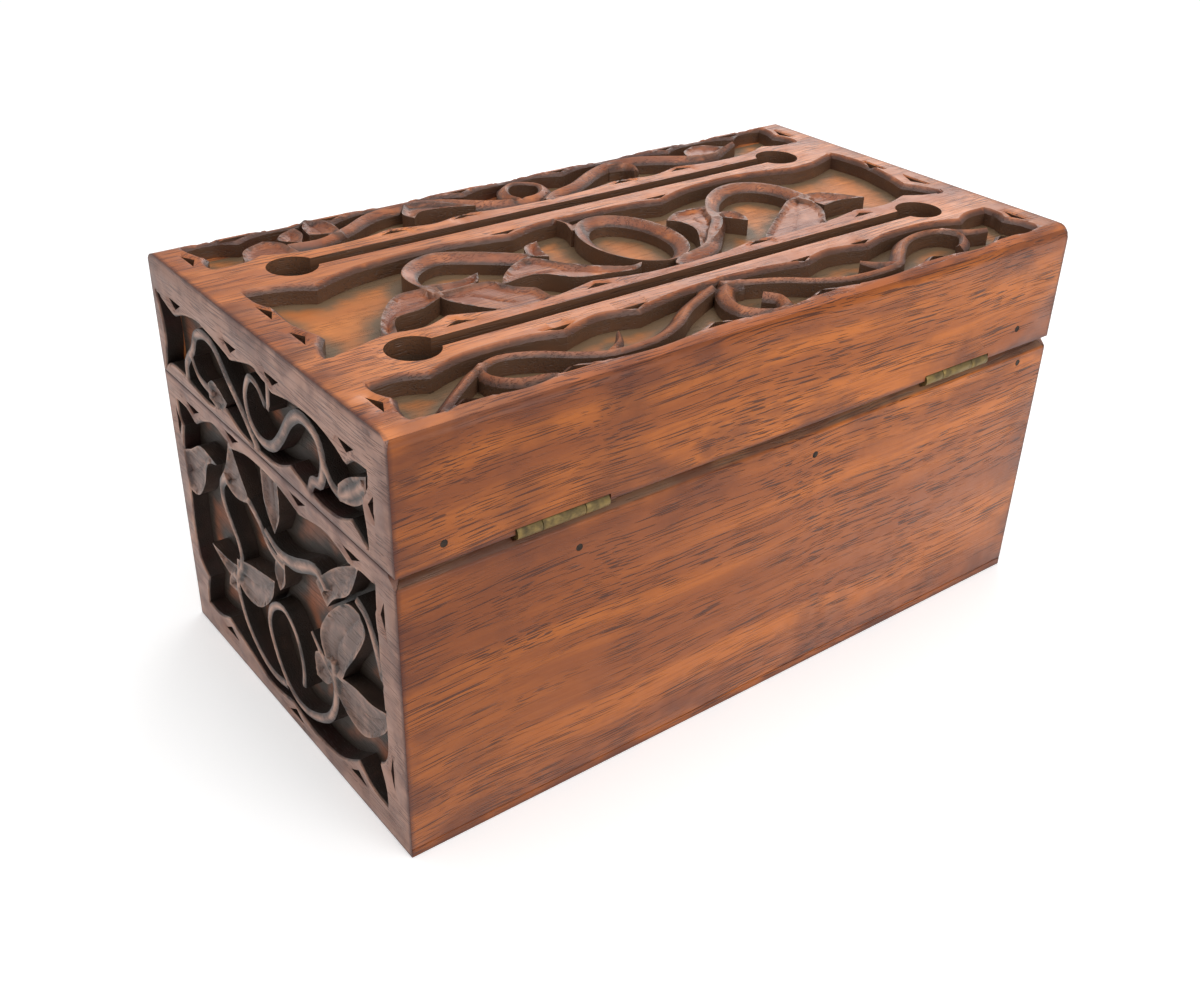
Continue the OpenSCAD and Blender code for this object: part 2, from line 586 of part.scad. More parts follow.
module lid_left_board() { color(wood) on_left() lid_end_board(); }
module lid_right_board() { color(wood) on_right() lid_end_board(); }
module lid_left_fretwork() { color(carved_wood) on_left() lid_end_fret(); }
module lid_right_fretwork() { color(carved_wood) on_right() lid_end_fret(); }

front_band_y = 47.8;
back_band_y = -46;
front_slot_y = 30.4;
back_slot_y = -27.5;

// The two long slots with round ends
module slots() {
    for (y = [front_slot_y, back_slot_y]) translate([0, y, -far / 2]) {
        translate([-slot_reach, -slot_w / 2, 0]) cube([2 * slot_reach, slot_w, far]);
        for (s = [-1, 1]) translate([s * slot_reach, 0, 0]) cylinder(d = slot_end_d, h = far);
    }
}

// The mitres on the top's two ends and its back edge, in the top's own plane
module top_mitres() {
    for (s = [0, 1]) mirror([s, 0, 0]) translate([-end_x, 0, 0]) mitre_waste();
    translate([0, -back_y, 0]) rotate([0, 0, 90]) mitre_waste();
}

module lid_top_board() {
    color(wood) on_top() difference() {
        slab([-end_x, -back_y], [end_x, back_y - fret_t], fret_t, backing_t);
        top_mitres();
        slots();
    }
}

module lid_top_fretwork() {
    color(carved_wood) difference() {
        on_top() difference() {
            slab([-end_x, -back_y], [end_x, back_y], 0, fret_t);
            translate([0, 0, -fret_t - 1]) linear_extrude(fret_t + 2) {
                sawn(centre_opening, centre_straps, centre_leaves, centre_chips);
                translate([0, front_band_y]) sawn(band_opening, front_band_straps, front_band_leaves,
                    concat(band_chips, band_end_chips));
                translate([0, back_band_y]) mirror([0, 1]) sawn(band_opening, back_band_straps, [],
                    concat(band_chips, band_end_chips));
            }
            top_mitres();
            slots();
        }
        rounded_edges_waste();
    }
}

module left_hinge_base_leaf() { color(brass) at_hinge(0) base_leaf(); }
module left_hinge_lid_leaf() { color(brass) at_hinge(0) lid_leaf(); }
module left_hinge_pin() { color(brass) at_hinge(0) hinge_pin(); }
module right_hinge_base_leaf() { color(brass) at_hinge(1) base_leaf(); }
module right_hinge_lid_leaf() { color(brass) at_hinge(1) lid_leaf(); }
module right_hinge_pin() { color(brass) at_hinge(1) hinge_pin(); }

module base_hinge_screws() {
    color(brass) for (i = [0, 1]) at_hinge(i) translate([0, 0, -seam_gap / 2]) at_screws() screw();
}

module lid_hinge_screws() {
    color(brass) for (i = [0, 1]) at_hinge(i) mirror([0, 0, 1]) translate([0, 0, -seam_gap / 2])
        at_screws() screw();
}

module base_panel_pins() { color("gray") at_places(base_pin_places) nail(); }
module lid_panel_pins() { color("gray") at_places(lid_pin_places) nail(); }

bottom_board();
base_back_board();
base_front_board();
base_front_fretwork();
base_left_board();
base_left_fretwork();
base_right_board();
base_right_fretwork();
lid_back_board();
lid_front_board();
lid_front_fretwork();
lid_left_board();
lid_left_fretwork();
lid_right_board();
lid_right_fretwork();
lid_top_board();
lid_top_fretwork();
left_hinge_base_leaf();
left_hinge_lid_leaf();
left_hinge_pin();
right_hinge_base_leaf();
right_hinge_lid_leaf();
right_hinge_pin();
base_hinge_screws();
lid_hinge_screws();
base_panel_pins();
lid_panel_pins();
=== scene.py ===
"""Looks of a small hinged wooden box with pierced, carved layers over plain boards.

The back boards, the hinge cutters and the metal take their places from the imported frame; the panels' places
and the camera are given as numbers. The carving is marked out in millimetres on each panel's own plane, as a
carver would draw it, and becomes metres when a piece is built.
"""
import json
import logging
import math
from dataclasses import dataclass, field, replace
from enum import Enum

import bpy
import numpy as np
from mathutils import Matrix, Vector, noise
from mathutils.geometry import delaunay_2d_cdt
from mathutils.kdtree import KDTree


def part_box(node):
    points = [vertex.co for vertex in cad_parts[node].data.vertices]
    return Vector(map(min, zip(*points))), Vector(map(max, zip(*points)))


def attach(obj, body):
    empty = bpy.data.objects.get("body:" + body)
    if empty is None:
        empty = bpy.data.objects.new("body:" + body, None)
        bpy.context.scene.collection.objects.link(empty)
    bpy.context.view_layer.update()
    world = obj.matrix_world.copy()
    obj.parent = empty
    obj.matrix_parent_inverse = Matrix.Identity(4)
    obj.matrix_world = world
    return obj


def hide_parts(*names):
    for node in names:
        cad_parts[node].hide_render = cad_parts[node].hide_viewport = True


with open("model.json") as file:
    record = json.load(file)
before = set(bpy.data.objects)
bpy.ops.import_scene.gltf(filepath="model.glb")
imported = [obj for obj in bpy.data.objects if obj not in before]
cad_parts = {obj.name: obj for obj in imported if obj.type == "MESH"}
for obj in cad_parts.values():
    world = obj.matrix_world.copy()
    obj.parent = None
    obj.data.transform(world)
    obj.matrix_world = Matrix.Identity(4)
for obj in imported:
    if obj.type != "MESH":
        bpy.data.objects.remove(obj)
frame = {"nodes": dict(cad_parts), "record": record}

log = logging.getLogger("carved_box")
MM = 0.001  # metres in a millimetre; every number below is in millimetres unless it says otherwise
ARRIS = 0.15  # depth of the worn arris round a carved layer
CREST_DEPTH = 0.1  # depth of a strap's ridge below the face
LEAF_DEPTH = 0.15  # depth of a leaf's rim below the face
UNDUG = -9.0  # stands for a point that no strap or leaf covers yet
ON_LINE = 0.13  # how near a point counts as lying on a line, whose marks are 0.25 apart
THINNEST = 0.03  # least thickness of a layer, at its mitres
SLOT_WIDE = 4.8
SLOT_END = 13.0  # diameter of a slot's round ends
SLOT_REACH = 82.5  # from the middle of a slot to the middle of each round end
CHAMFER = 3.2  # along the base's upper edge on the hinge side
ROUNDING = 4.0  # radius of the lid's upper edges
GROOVE_RADIUS = 2.05  # of the groove that a hinge's barrel lies in
GROOVE_SPARE = 0.8  # how much longer the groove is than the barrel
BED_HALF = 1.0  # half the height of the bed for a hinge's leaves
PIN_RADIUS = 0.95
PIN_HOLE = 1.4  # length of the cutter for a pin's hole, half of it in the wood
BOARD_EASE = 0.3
LID_EASE = 0.12
METAL_EASE = 0.12
SHADE_ANGLE = 35  # degrees

Point = tuple[float, float]
Run = list[Point]


# ---------------------------------------------------------------- curves


def curve_point(a: np.ndarray, b: np.ndarray, c: np.ndarray, d: np.ndarray, t: float) -> np.ndarray:
    """Point at fraction t of a smooth curve from b to c, with a before and d after."""
    return 0.5 * (2 * b + (c - a) * t + (2 * a - 5 * b + 4 * c - d) * t * t
                  + (3 * b - a - 3 * c + d) * t ** 3)


def smooth(run: Run, steps: int = 5) -> np.ndarray:
    """A smooth run through its points, both ends kept.

    Args:
        run: The points that the curve passes through.
        steps: Pieces in each span.

    Returns:
        The points along the curve.
    """
    p = np.array(run, float)
    if len(p) == 2:
        return p
    last = len(p) - 1
    out = [curve_point(p[max(i - 1, 0)], p[i], p[i + 1], p[min(i + 2, last)], k / steps)
           for i in range(last) for k in range(steps)]
    return np.array(out + [p[last]])


def closed_outline(stretches: list[Run]) -> np.ndarray:
    """A closed outline of stretches that are smooth and meet in sharp corners."""
    return np.concatenate([smooth(run)[:-1] for run in stretches])


def ring(*stretches: Run) -> list[Run]:
    """Stretches of a closed outline, each given without its first point, where the last one ended."""
    return [[before[-1], *run] for before, run in zip(stretches[-1:] + stretches[:-1], stretches)]


def flipped(stretches: list[Run]) -> list[Run]:
    """The same stretches turned over left to right, and run the other way."""
    return [[(-x, y) for x, y in reversed(run)] for run in reversed(stretches)]


def densified(line: np.ndarray, step: float = 0.25) -> np.ndarray:
    """The points of a line with more between them, no further than step apart."""
    out = []
    for a, b in zip(line[:-1], line[1:]):
        count = max(1, int(np.ceil(np.hypot(*(b - a)) / step)))
        out.append(a + (b - a) * np.arange(count)[:, None] / count)
    return np.concatenate(out + [line[-1:]])


def inside(points: np.ndarray, outline: np.ndarray) -> np.ndarray:
    """Which points lie inside a closed outline."""
    hit = np.zeros(len(points), bool)
    low, high = outline.min(0), outline.max(0)
    near = np.all((points >= low) & (points <= high), axis=1)
    x, y = points[near, 0], points[near, 1]
    odd = np.zeros(len(x), bool)
    for (x1, y1), (x2, y2) in zip(outline, np.roll(outline, -1, 0)):
        if y1 != y2:
            odd ^= ((y1 > y) != (y2 > y)) & (x < (x2 - x1) * (y - y1) / (y2 - y1) + x1)
    hit[near] = odd
    return hit


class Nearness:
    """Distances from points to a set of lines."""

    def __init__(self, lines: list[np.ndarray]) -> None:
        """Stores the lines' own points, closely spaced."""
        marks = np.concatenate([densified(line) for line in lines])
        self.tree = KDTree(len(marks))
        for i, (x, y) in enumerate(marks):
            self.tree.insert((x, y, 0), i)
        self.tree.balance()

    def to(self, points: np.ndarray) -> np.ndarray:
        """Distance of each point to the nearest line."""
        return np.array([self.tree.find((x, y, 0))[2] for x, y in points]).reshape(-1)


# ---------------------------------------------------------------- what a carver marks out


@dataclass(frozen=True)
class Strap:
    """A stem or tendril of the carving.

    Attributes:
        path: Points along its middle.
        widths: Its width from end to end, as a short list.
        ridge: Where its ridge lies across it, from -1 at the right edge to 1 at the left.
    """

    path: Run
    widths: list[float]
    ridge: float = 0.0

    def middle(self) -> np.ndarray:
        """Closely spaced points along its middle."""
        return smooth(self.path, 4)

    def sideways(self) -> np.ndarray:
        """Half its width, as a vector to the left, at each point of its middle."""
        c = self.middle()
        d = np.concatenate([c[1:2] - c[:1], c[2:] - c[:-2], c[-1:] - c[-2:-1]])
        left = np.stack([-d[:, 1], d[:, 0]], 1) / np.hypot(d[:, 0], d[:, 1])[:, None]
        t = np.linspace(0, 1, len(c))
        width = np.interp(t, np.linspace(0, 1, len(self.widths)), self.widths)
        return left * width[:, None] / 2

    def edges(self) -> list[np.ndarray]:
        """Its two long edges and two ends."""
        c, s = self.middle(), self.sideways()
        return [c + s, c - s, np.array([c[0] + s[0], c[0] - s[0]]), np.array([c[-1] + s[-1], c[-1] - s[-1]])]

    def crest(self) -> np.ndarray:
        """The line of its ridge."""
        return self.middle() + self.sideways() * self.ridge

    def covers(self, points: np.ndarray, slack: float = 0.0) -> np.ndarray:
        """Which points lie on the strap, or within slack of it."""
        c, s = self.middle(), self.sideways()
        hit = np.zeros(len(points), bool)
        for i in range(len(c) - 1):
            quad = np.array([c[i] + s[i], c[i + 1] + s[i + 1], c[i + 1] - s[i + 1], c[i] - s[i]])
            inside = (points > quad.min(0) - slack) & (points < quad.max(0) + slack)
            near = np.flatnonzero(np.all(inside, axis=1))
            if len(near):
                e = np.roll(quad, -1, 0) - quad
                length = np.maximum(np.hypot(e[:, 0], e[:, 1]), 1e-9)
                off = points[near][:, None] - quad[None]
                side = (e[:, 0] * off[:, :, 1] - e[:, 1] * off[:, :, 0]) / length
                hit[near[np.all(side <= slack, axis=1)]] = True
        return hit

    def profile(self, points: np.ndarray, drop: float) -> np.ndarray:
        """Height of the strap's sloped face at points that lie on it."""
        c, s = self.middle(), self.sideways()
        tree = KDTree(len(c))
        for i, (x, y) in enumerate(c):
            tree.insert((x, y, 0), i)
        tree.balance()
        out = np.zeros(len(points))
        for k, (x, y) in enumerate(points):
            i = tree.find((x, y, 0))[1]
            half = max(np.hypot(*s[i]), 0.05)
            across = float(np.dot((x, y) - c[i], s[i]) / half ** 2)
            away = abs(across - self.ridge) / (1 + abs(self.ridge))
            out[k] = -CREST_DEPTH - drop * min(away, 1.0) ** 1.2 * min(1.0, half / 1.6)
        return out


@dataclass(frozen=True)
class Leaf:
    """A leaf of the carving, as its outline in stretches that begin and end at its corners."""

    outline: list[Run]

    def edge(self) -> np.ndarray:
        """Its closed edge, the first point repeated at the end."""
        line = closed_outline(self.outline)
        return np.concatenate([line, line[:1]])

    def rib(self) -> np.ndarray:
        """The line of its rib, half way between its first side and its other long side."""
        t = np.linspace(0.12, 0.88, 12)
        sides = [smooth(run) for run in self.outline]
        other = max(sides[1:], key=lambda side: np.hypot(*np.diff(side, axis=0).T).sum())[::-1]
        ways = [np.stack([np.interp(t * (len(s) - 1), np.arange(len(s)), s[:, i]) for i in (0, 1)], 1)
                for s in (sides[0], other)]
        return (ways[0] + ways[1]) / 2


@dataclass(frozen=True)
class Chip:
    """A small three-cornered cut with its point at tip, opening away along heading."""

    tip: Point
    heading: Point
    wide: float = 8.0
    deep: float = 2.0

    def edge(self) -> np.ndarray:
        """Its closed edge, the first point repeated at the end."""
        tip, d = np.array(self.tip, float), np.array(self.heading, float)
        side = np.array([-d[1], d[0]]) * self.wide / 2
        return np.array([tip, tip + d * self.deep + side, tip + d * self.deep - side, tip])


@dataclass(frozen=True)
class Pattern:
    """One carved field: an opening with straps and leaves left standing in it, and chips round it."""

    opening: list[Run]
    straps: list[Strap]
    leaves: list[Leaf]
    chips: list[Chip]

    def placed(self, shift: Point = (0, 0), scale: float = 1.0, turn_x: bool = False,
               turn_y: bool = False) -> "Pattern":
        """The pattern moved, sized and turned over for its place on a panel."""
        sx, sy = (-scale if turn_x else scale), (-scale if turn_y else scale)
        turned = turn_x != turn_y

        def put(run: Run) -> Run:
            """The same run at its place."""
            return [(sx * x + shift[0], sy * y + shift[1]) for x, y in run]

        return Pattern(
            [put(run) for run in self.opening],
            [Strap(put(s.path), [w * scale for w in s.widths], -s.ridge if turned else s.ridge)
             for s in self.straps],
            [Leaf([put(run) for run in leaf.outline]) for leaf in self.leaves],
            [Chip(put([c.tip])[0], (c.heading[0] * sx / scale, c.heading[1] * sy / scale),
                  c.wide * scale, c.deep * scale) for c in self.chips])


# ---------------------------------------------------------------- the patterns

BAND_HALF: list[Run] = [
    [(0, -10.5), (15, -9.5), (27.5, -7)],
    [(27.5, -7), (38, -9.5), (49.5, -6.5)],
    [(49.5, -6.5), (60, -9), (75, -9), (86, -5.5)],
    [(86, -5.5), (92, -8), (99, -8)],
    [(99, -8), (98.8, -4), (97, -0.5)],
    [(97, -0.5), (98.8, 4), (99.5, 8.5)],
    [(99.5, 8.5), (92, 9.5), (86, 6.2)],
    [(86, 6.2), (80, 9), (72, 10), (64.5, 9), (58.5, 6.2)],
    [(58.5, 6.2), (50, 9), (38, 10), (26, 9), (17.5, 6.2)],
    [(17.5, 6.2), (10, 9), (0, 10)],
]

FRONT_BAND_STRAPS: list[Strap] = [
    Strap([(-77, -4), (-68, -5), (-58, -0.5), (-48, 5.3), (-36.5, 7), (-26.5, 4.5), (-15, -4), (-4.5, -7),
        (3, -4.7), (6, 2), (0.5, 7.2), (-5, 5), (-8, -1.5), (-7, -6)], [3, 4, 4, 3], 0.45),
    Strap([(0, -11), (5.3, -7.2), (15, -3.8), (26.7, 3), (36.7, 6.3), (46.7, 5), (59, -2), (67.4, -4), (75,
        -1.2), (82, 2)], [4, 4, 4, 1.5], 0.45),
    Strap([(33, 5), (38.5, 3.5), (39.5, -0.5), (37.5, -3.5)], [4, 3, 1], 0),
]

FRONT_BAND_LEAVES: list[Leaf] = [
    Leaf(ring([(-88, -1.2), (-81, 2.4)], [(-77.5, -1), (-76.5, -9)], [(-91, -9)])),
    Leaf(ring([(-77.3, 0.6), (-75, 4.5), (-70, 7)], [(-70, 2), (-73, -3.5)])),
    Leaf(ring([(-68, 6), (-65, 11)], [(-61, 8), (-60, 4), (-61, -3)], [(-69, 0)])),
    Leaf(ring([(-40.5, 1), (-39.5, -3.7)], [(-35, 0), (-28, -1), (-20, -4)], [(-28, 5), (-36.5, 7)])),
    Leaf(ring([(62, 3), (67.4, 5.6)], [(72, 4.5), (76, 0)], [(68, -4), (59.5, -2)])),
]

BACK_BAND_STRAPS: list[Strap] = [
    Strap([(-93, 9.5), (-83, 1.5), (-76.6, -3), (-69.4, -5.6), (-61, -2.8), (-53.7, 2.6), (-46.6, 6), (-35,
        6), (-25, 2.2), (-16.6, -3.5), (-4, -9.5)], [3, 4, 4, 4], 0.3),
    Strap([(-75, -4), (-76, 2), (-72, 6.5), (-65, 8.5), (-63, 10)], [3, 3, 3], 0),
    Strap([(-46, 5.5), (-42, 3), (-39.5, -0.5)], [3.5, 1], 0),
    Strap([(4.6, -8.1), (0, -8), (-5, -1.7), (-6, 5), (-1, 10), (4, 9.5), (6.5, 5), (4, 1)], [5, 5, 4], 0),
    Strap([(0, -10.5), (4.6, -8.1), (14, -4), (22.4, 2), (31.7, 5.5), (46, 5.4), (53, 0.4), (60.3, -4.6),
        (68, -6.6), (75.3, -5), (78, 1), (74, 5.4), (70, 7.2)], [4, 4, 4, 2.5], 0.3),
    Strap([(46, 5), (42, 3), (39, 0)], [3.5, 1], 0),
    Strap([(76, -4.5), (79.6, -1), (83, 1), (87, 2.2)], [3, 2, 1.5], 0),
]

CENTRE_OPENING: list[Run] = ring([(-90, 19.2), (-83.5, 15.5)],
    [(-72, 19.8), (-58, 21.7), (-45, 21.5), (-25, 18)], [(-14, 21), (0, 21), (15, 20.3), (26, 18)],
    [(38, 21.7), (52, 23), (65, 22), (79, 18.5)], [(88, 19.2), (99.5, 23)], [(100.5, 12), (98.9, 3)],
    [(97.5, -3), (95, -9.7)], [(98, -15), (100, -20)], [(94, -18.6), (88, -15.4)],
    [(76.7, -18.3), (66.7, -16.6)], [(55, -18.6), (40, -19.2), (26.7, -18.3)],
    [(14, -20.6), (0, -21), (-13, -20.4), (-26.6, -17.2)], [(-40, -20), (-53, -20), (-67, -15.3)],
    [(-75, -18.2), (-84, -16.9), (-92.6, -19), (-100, -20.8)], [(-98, -15), (-95, -10.4)],
    [(-97.3, -2), (-97.4, 4), (-97, 10)], [(-98.7, 14), (-99, 21)])

CENTRE_STRAPS: list[Strap] = [
    Strap([(-61, -3), (-62, 6.5), (-60, 12), (-54.5, 16), (-48, 16.5), (-38, 10), (-30, 3)], [4, 4, 4],
        0.9),
    Strap([(0.5 + 11 * math.cos(math.radians(a)), 16.3 * math.sin(math.radians(a)))
           for a in range(0, 361, 24)], [4, 4], -0.9),
    Strap([(0, -22), (3, -19.7), (14.6, -16), (22.4, -9), (29.6, -2), (33, 4), (40, 12), (49, 16.7), (57,
        15.3), (62, 8), (62.5, -3)], [4, 4, 4], 0.9),
    Strap([(-8, 12), (-6, 18), (-7, 23)], [4, 4], 0.9),
]

CENTRE_LEAVES: list[Leaf] = [
    Leaf(ring([(-79.4, -8.3), (-72, -0.4), (-66, 1), (-60, -0.4)], [(-61, -5.4)],
        [(-69, -9.7), (-77, -11), (-81, -18)], [(-85, -18)])),
    Leaf(ring([(-55, -3.6), (-47.3, -4.4), (-44.4, -10), (-40, -14)], [(-40, -22)], [(-53, -22)],
        [(-58, -16), (-62, -9), (-62.3, -3)])),
    Leaf(ring([(-53.7, 0), (-46.6, 2)], [(-50.9, -3.5), (-62, -4)], [(-62, 2)])),
    Leaf(ring([(-27, 10), (-21.9, 11.7)], [(-24.5, 6), (-25.5, 1)], [(-30, 4)])),
    Leaf(ring([(-41.6, -2.6), (-35, 2.2), (-30, 3), (-23.7, -6), (-13.7, -14.7), (-8, -15)],
        [(-12, -18), (-19.4, -16.5), (-28, -14), (-35, -7), (-46, -8)])),
    Leaf(ring([(19, -5), (19.6, 1.7), (17, 5.3)], [(24, 9), (34, 8)], [(31, -2), (22, -10), (11, -16)])),
    Leaf(ring([(35, 2.2), (38, 0.3)], [(37.6, -4), (36, -7)], [(30, 1)])),
    Leaf(ring([(57, -1), (46, -8.3), (33, -17.6), (30, -21)], [(52, -21)],
        [(59.6, -12.6), (63, -4), (64, 0)])),
    Leaf(ring([(70, -1), (78, -11)], [(70, -9), (63, -9.7)], [(61, 0)])),
]

LID_END_OPENING: list[Run] = ring([(-52, 100.5), (-47, 99)],
    [(-40, 101.7), (-31, 102.8), (-19, 101), (-14, 99.8)], [(-5, 102.5), (0, 102.8), (8, 100.3)],
    [(17, 102), (28, 102.4), (36.5, 100.5), (41.8, 98)], [(45.7, 100.5), (51, 101)],
    [(50.5, 97), (47.6, 93.2)], [(49, 87), (49.5, 81.3)], [(46, 83.5), (42.6, 85.2)],
    [(36, 82.5), (26.5, 82), (13.8, 84.8)], [(7, 81.8), (-2, 80.9), (-12.8, 81.6), (-20.4, 84.5)],
    [(-31, 81.5), (-46.6, 83.6), (-54.3, 83.2), (-58, 81.5)], [(-55.8, 88.6), (-55.8, 95), (-58, 102.5)])

LID_END_STRAPS: list[Strap] = [
    Strap([(-44, 80.5), (-44, 87), (-38.5, 93), (-35.5, 98), (-30, 100.2), (-24, 98.8), (-18, 93), (-12,
        88), (-8, 84), (-4, 80)], [2.5, 2.5, 3, 3], 0),
    Strap([(-40, 92), (-38.5, 88.6), (-35.5, 86), (-29, 85)], [2, 2, 2.5], 0),
    Strap([(5.5, 104), (4, 95), (-0.5, 98.6), (-5, 99), (-8.4, 93), (-7, 87), (-2, 84), (4, 85), (9, 89.3),
        (15, 96.5), (21, 100), (28, 98), (30, 92.5), (28, 86.8), (24, 85.2), (22, 81)], [2, 2, 3, 3.5,
        2.5], 0),
    Strap([(30, 94), (33.4, 89.4), (38, 88.6), (44, 92.5), (48.5, 96)], [2.5, 3, 3], 0),
]

LID_END_LEAVES: list[Leaf] = [
    Leaf(ring([(-27, 89), (-20, 86)], [(-24, 82), (-31, 83)], [(-31, 87)])),
    Leaf(ring([(42, 95), (50, 99)], [(49, 93), (44, 89), (37, 87)], [(37, 91)])),
]

BASE_END_OPENING: list[Run] = ring([(-47.6, 72.7), (-42.8, 70.3)], [(-38, 73), (-30, 75.6), (-19.8, 73.2)],
    [(-10, 75.5), (4, 75.3), (16.3, 72.4)], [(27, 74.5), (34, 73.8), (40.8, 71.4)],
    [(45, 72.8), (51, 72.8)], [(50.8, 68), (50.2, 65.3)], [(51, 50), (51.9, 30), (50, 23), (47.2, 20.3)],
    [(49.5, 14), (49.7, 8.4)], [(42.4, 9.2), (36.3, 13)], [(26, 6.8), (12, 5), (0, 7)],
    [(-12, 4.8), (-25, 7.8), (-37.6, 11.4)], [(-45, 8.7), (-52.3, 8.4)], [(-51.5, 13), (-49.2, 18.7)],
    [(-54, 22.5), (-55, 32), (-54, 45), (-54.2, 58), (-52, 66)], [(-53.7, 68), (-54, 72.8)])

BASE_END_STRAPS: list[Strap] = [
    Strap([(-27, 62), (-31, 58), (-31.3, 53), (-28.7, 48.7), (-24.5, 43), (-24, 37), (-28, 31), (-28.7,
        25.3), (-25.5, 17), (-18.7, 11), (-11, 8.7), (-3, 10)], [3, 2.5, 2.5, 2.5], 0),
    Strap([(7.7, 17), (8.6, 24), (6.3, 32), (0.2, 36.4), (-7, 33), (-10, 26), (-7.6, 18), (-2.6, 11.4), (4,
        8.5), (12, 10), (21.3, 16), (25.8, 25), (26, 36)], [2, 2.2, 2.5, 3], 0),
    Strap([(-14.8, 61.2), (-9, 57.6), (-4, 52.5), (3, 51)], [3, 2.5, 2.5], 0),
    Strap([(26, 31), (20, 35), (15.8, 39.2)], [3, 1.5], 0),
    Strap([(41, 63), (45, 61), (48, 56), (51.5, 47)], [3, 3, 4], 0),
    Strap([(-6, 57), (1, 54), (9, 55), (21, 60), (25.5, 57)], [2, 4, 3], 0),
]

BASE_END_LEAVES: list[Leaf] = [
    Leaf(ring([(-49.8, 59.8), (-42, 64), (-32.6, 62.8)], [(-39, 60), (-43, 52), (-48.7, 46), (-56, 45)],
        [(-56, 57)])),
    Leaf(ring([(-26, 66.4), (-22, 75.5)], [(-18, 68), (-13, 61)], [(-22, 58.5), (-30, 61)])),
    Leaf(ring([(-33, 33.5), (-44, 33)], [(-35, 29), (-28, 29.5)], [(-26, 35)])),
    Leaf(ring([(-33.5, 28), (-35, 24.5)], [(-30, 25), (-27.5, 28)], [(-30, 31)])),
    Leaf(ring([(-17.6, 40), (-3.5, 43)], [(-6.4, 36), (-14.8, 28.4), (-23, 27), (-28, 29)], [(-27, 37)])),
    Leaf(ring([(20.5, 41), (25.8, 50.3), (35.8, 59.2), (42, 60)],
        [(44.3, 55.5), (39, 46.4), (33.6, 39.2), (30, 33)], [(24, 33)])),
    Leaf(ring([(36.9, 35.6), (45, 36), (53, 38.5)], [(51, 32), (41.3, 23.7), (34, 23.4), (26, 28)],
        [(25, 33)])),
    Leaf(ring([(17, 34), (16.5, 26.4)], [(22, 27), (26, 31)], [(25, 36)])),
    Leaf(ring([(-4, 66), (0, 59)], [(4, 66), (5, 77)], [(-4, 77)])),
    Leaf(ring([(25, 61), (33, 67.5), (44, 74)], [(38, 63), (30, 57), (26, 52.5)], [(21, 57)])),
    Leaf(ring([(-2.5, 47), (-0.5, 42)], [(3, 46), (4, 53)], [(0, 53)])),
]

BAND_CHIPS: list[Chip] = [Chip((s * x, 7.6), (0, 1)) for s in (-1, 1) for x in (17.5, 58.5, 86)] + [
    Chip((s * x, -8.4), (0, -1)) for s in (-1, 1) for x in (27.5, 49.5)]
BAND_END_CHIPS: list[Chip] = [Chip((s * 100.5, 0), (s, 0)) for s in (-1, 1)]
CENTRE_CHIPS: list[Chip] = (
    [Chip((x, -19.6), (0, -1)) for x in (-66.5, -26.5, 27, 66.7)]
    + [Chip((x, 20.4), (0, 1)) for x in (-25.5, 27)]
    + [Chip((x, y), (s, 0)) for y in (8, -8.5) for x, s in ((-98.8, -1), (100.8, 1))])
LID_END_CHIPS: list[Chip] = [
    Chip(p, (0, 1), 7, 2.2) for p in ((-46.3, 101), (-14, 101.8), (8, 102.3), (42, 101))] + [
    Chip((50, 92.5), (1, 0), 6, 2.4)]
BASE_END_CHIPS: list[Chip] = (
    [Chip(p, (0, 1)) for p in ((-44, 72.8), (-20, 75.1), (15.2, 74.6), (40.5, 73.4))]
    + [Chip(p, (0, -1), 8, 2.4) for p in ((35, 8.6), (1, 4.8), (-38, 8))]
    + [Chip((52.2, 66), (1, 0), 8, 1.8), Chip((52, 21), (1, 0), 11, 1.4), Chip((-54, 66), (-1, 0), 10, 2.6)])


# ---------------------------------------------------------------- panels


class Side(Enum):
    """Faces of the box that carry carving."""

    TOP = "top"
    RIGHT = "right"
    LEFT = "left"
    FRONT = "front"


PLACES = {
    Side.TOP: np.array([[-1, 0, 0, 0], [0, -1, 0, 0], [0, 0, 1, 112.6]], float),
    Side.RIGHT: np.array([[0, 0, 1, 108], [1, 0, 0, 0], [0, 1, 0, 0]], float),
    Side.LEFT: np.array([[0, 0, -1, -108], [1, 0, 0, 0], [0, 1, 0, 0]], float),
    Side.FRONT: np.array([[1, 0, 0, 0], [0, 0, -1, -60.3], [0, 1, 0, 0]], float),
}


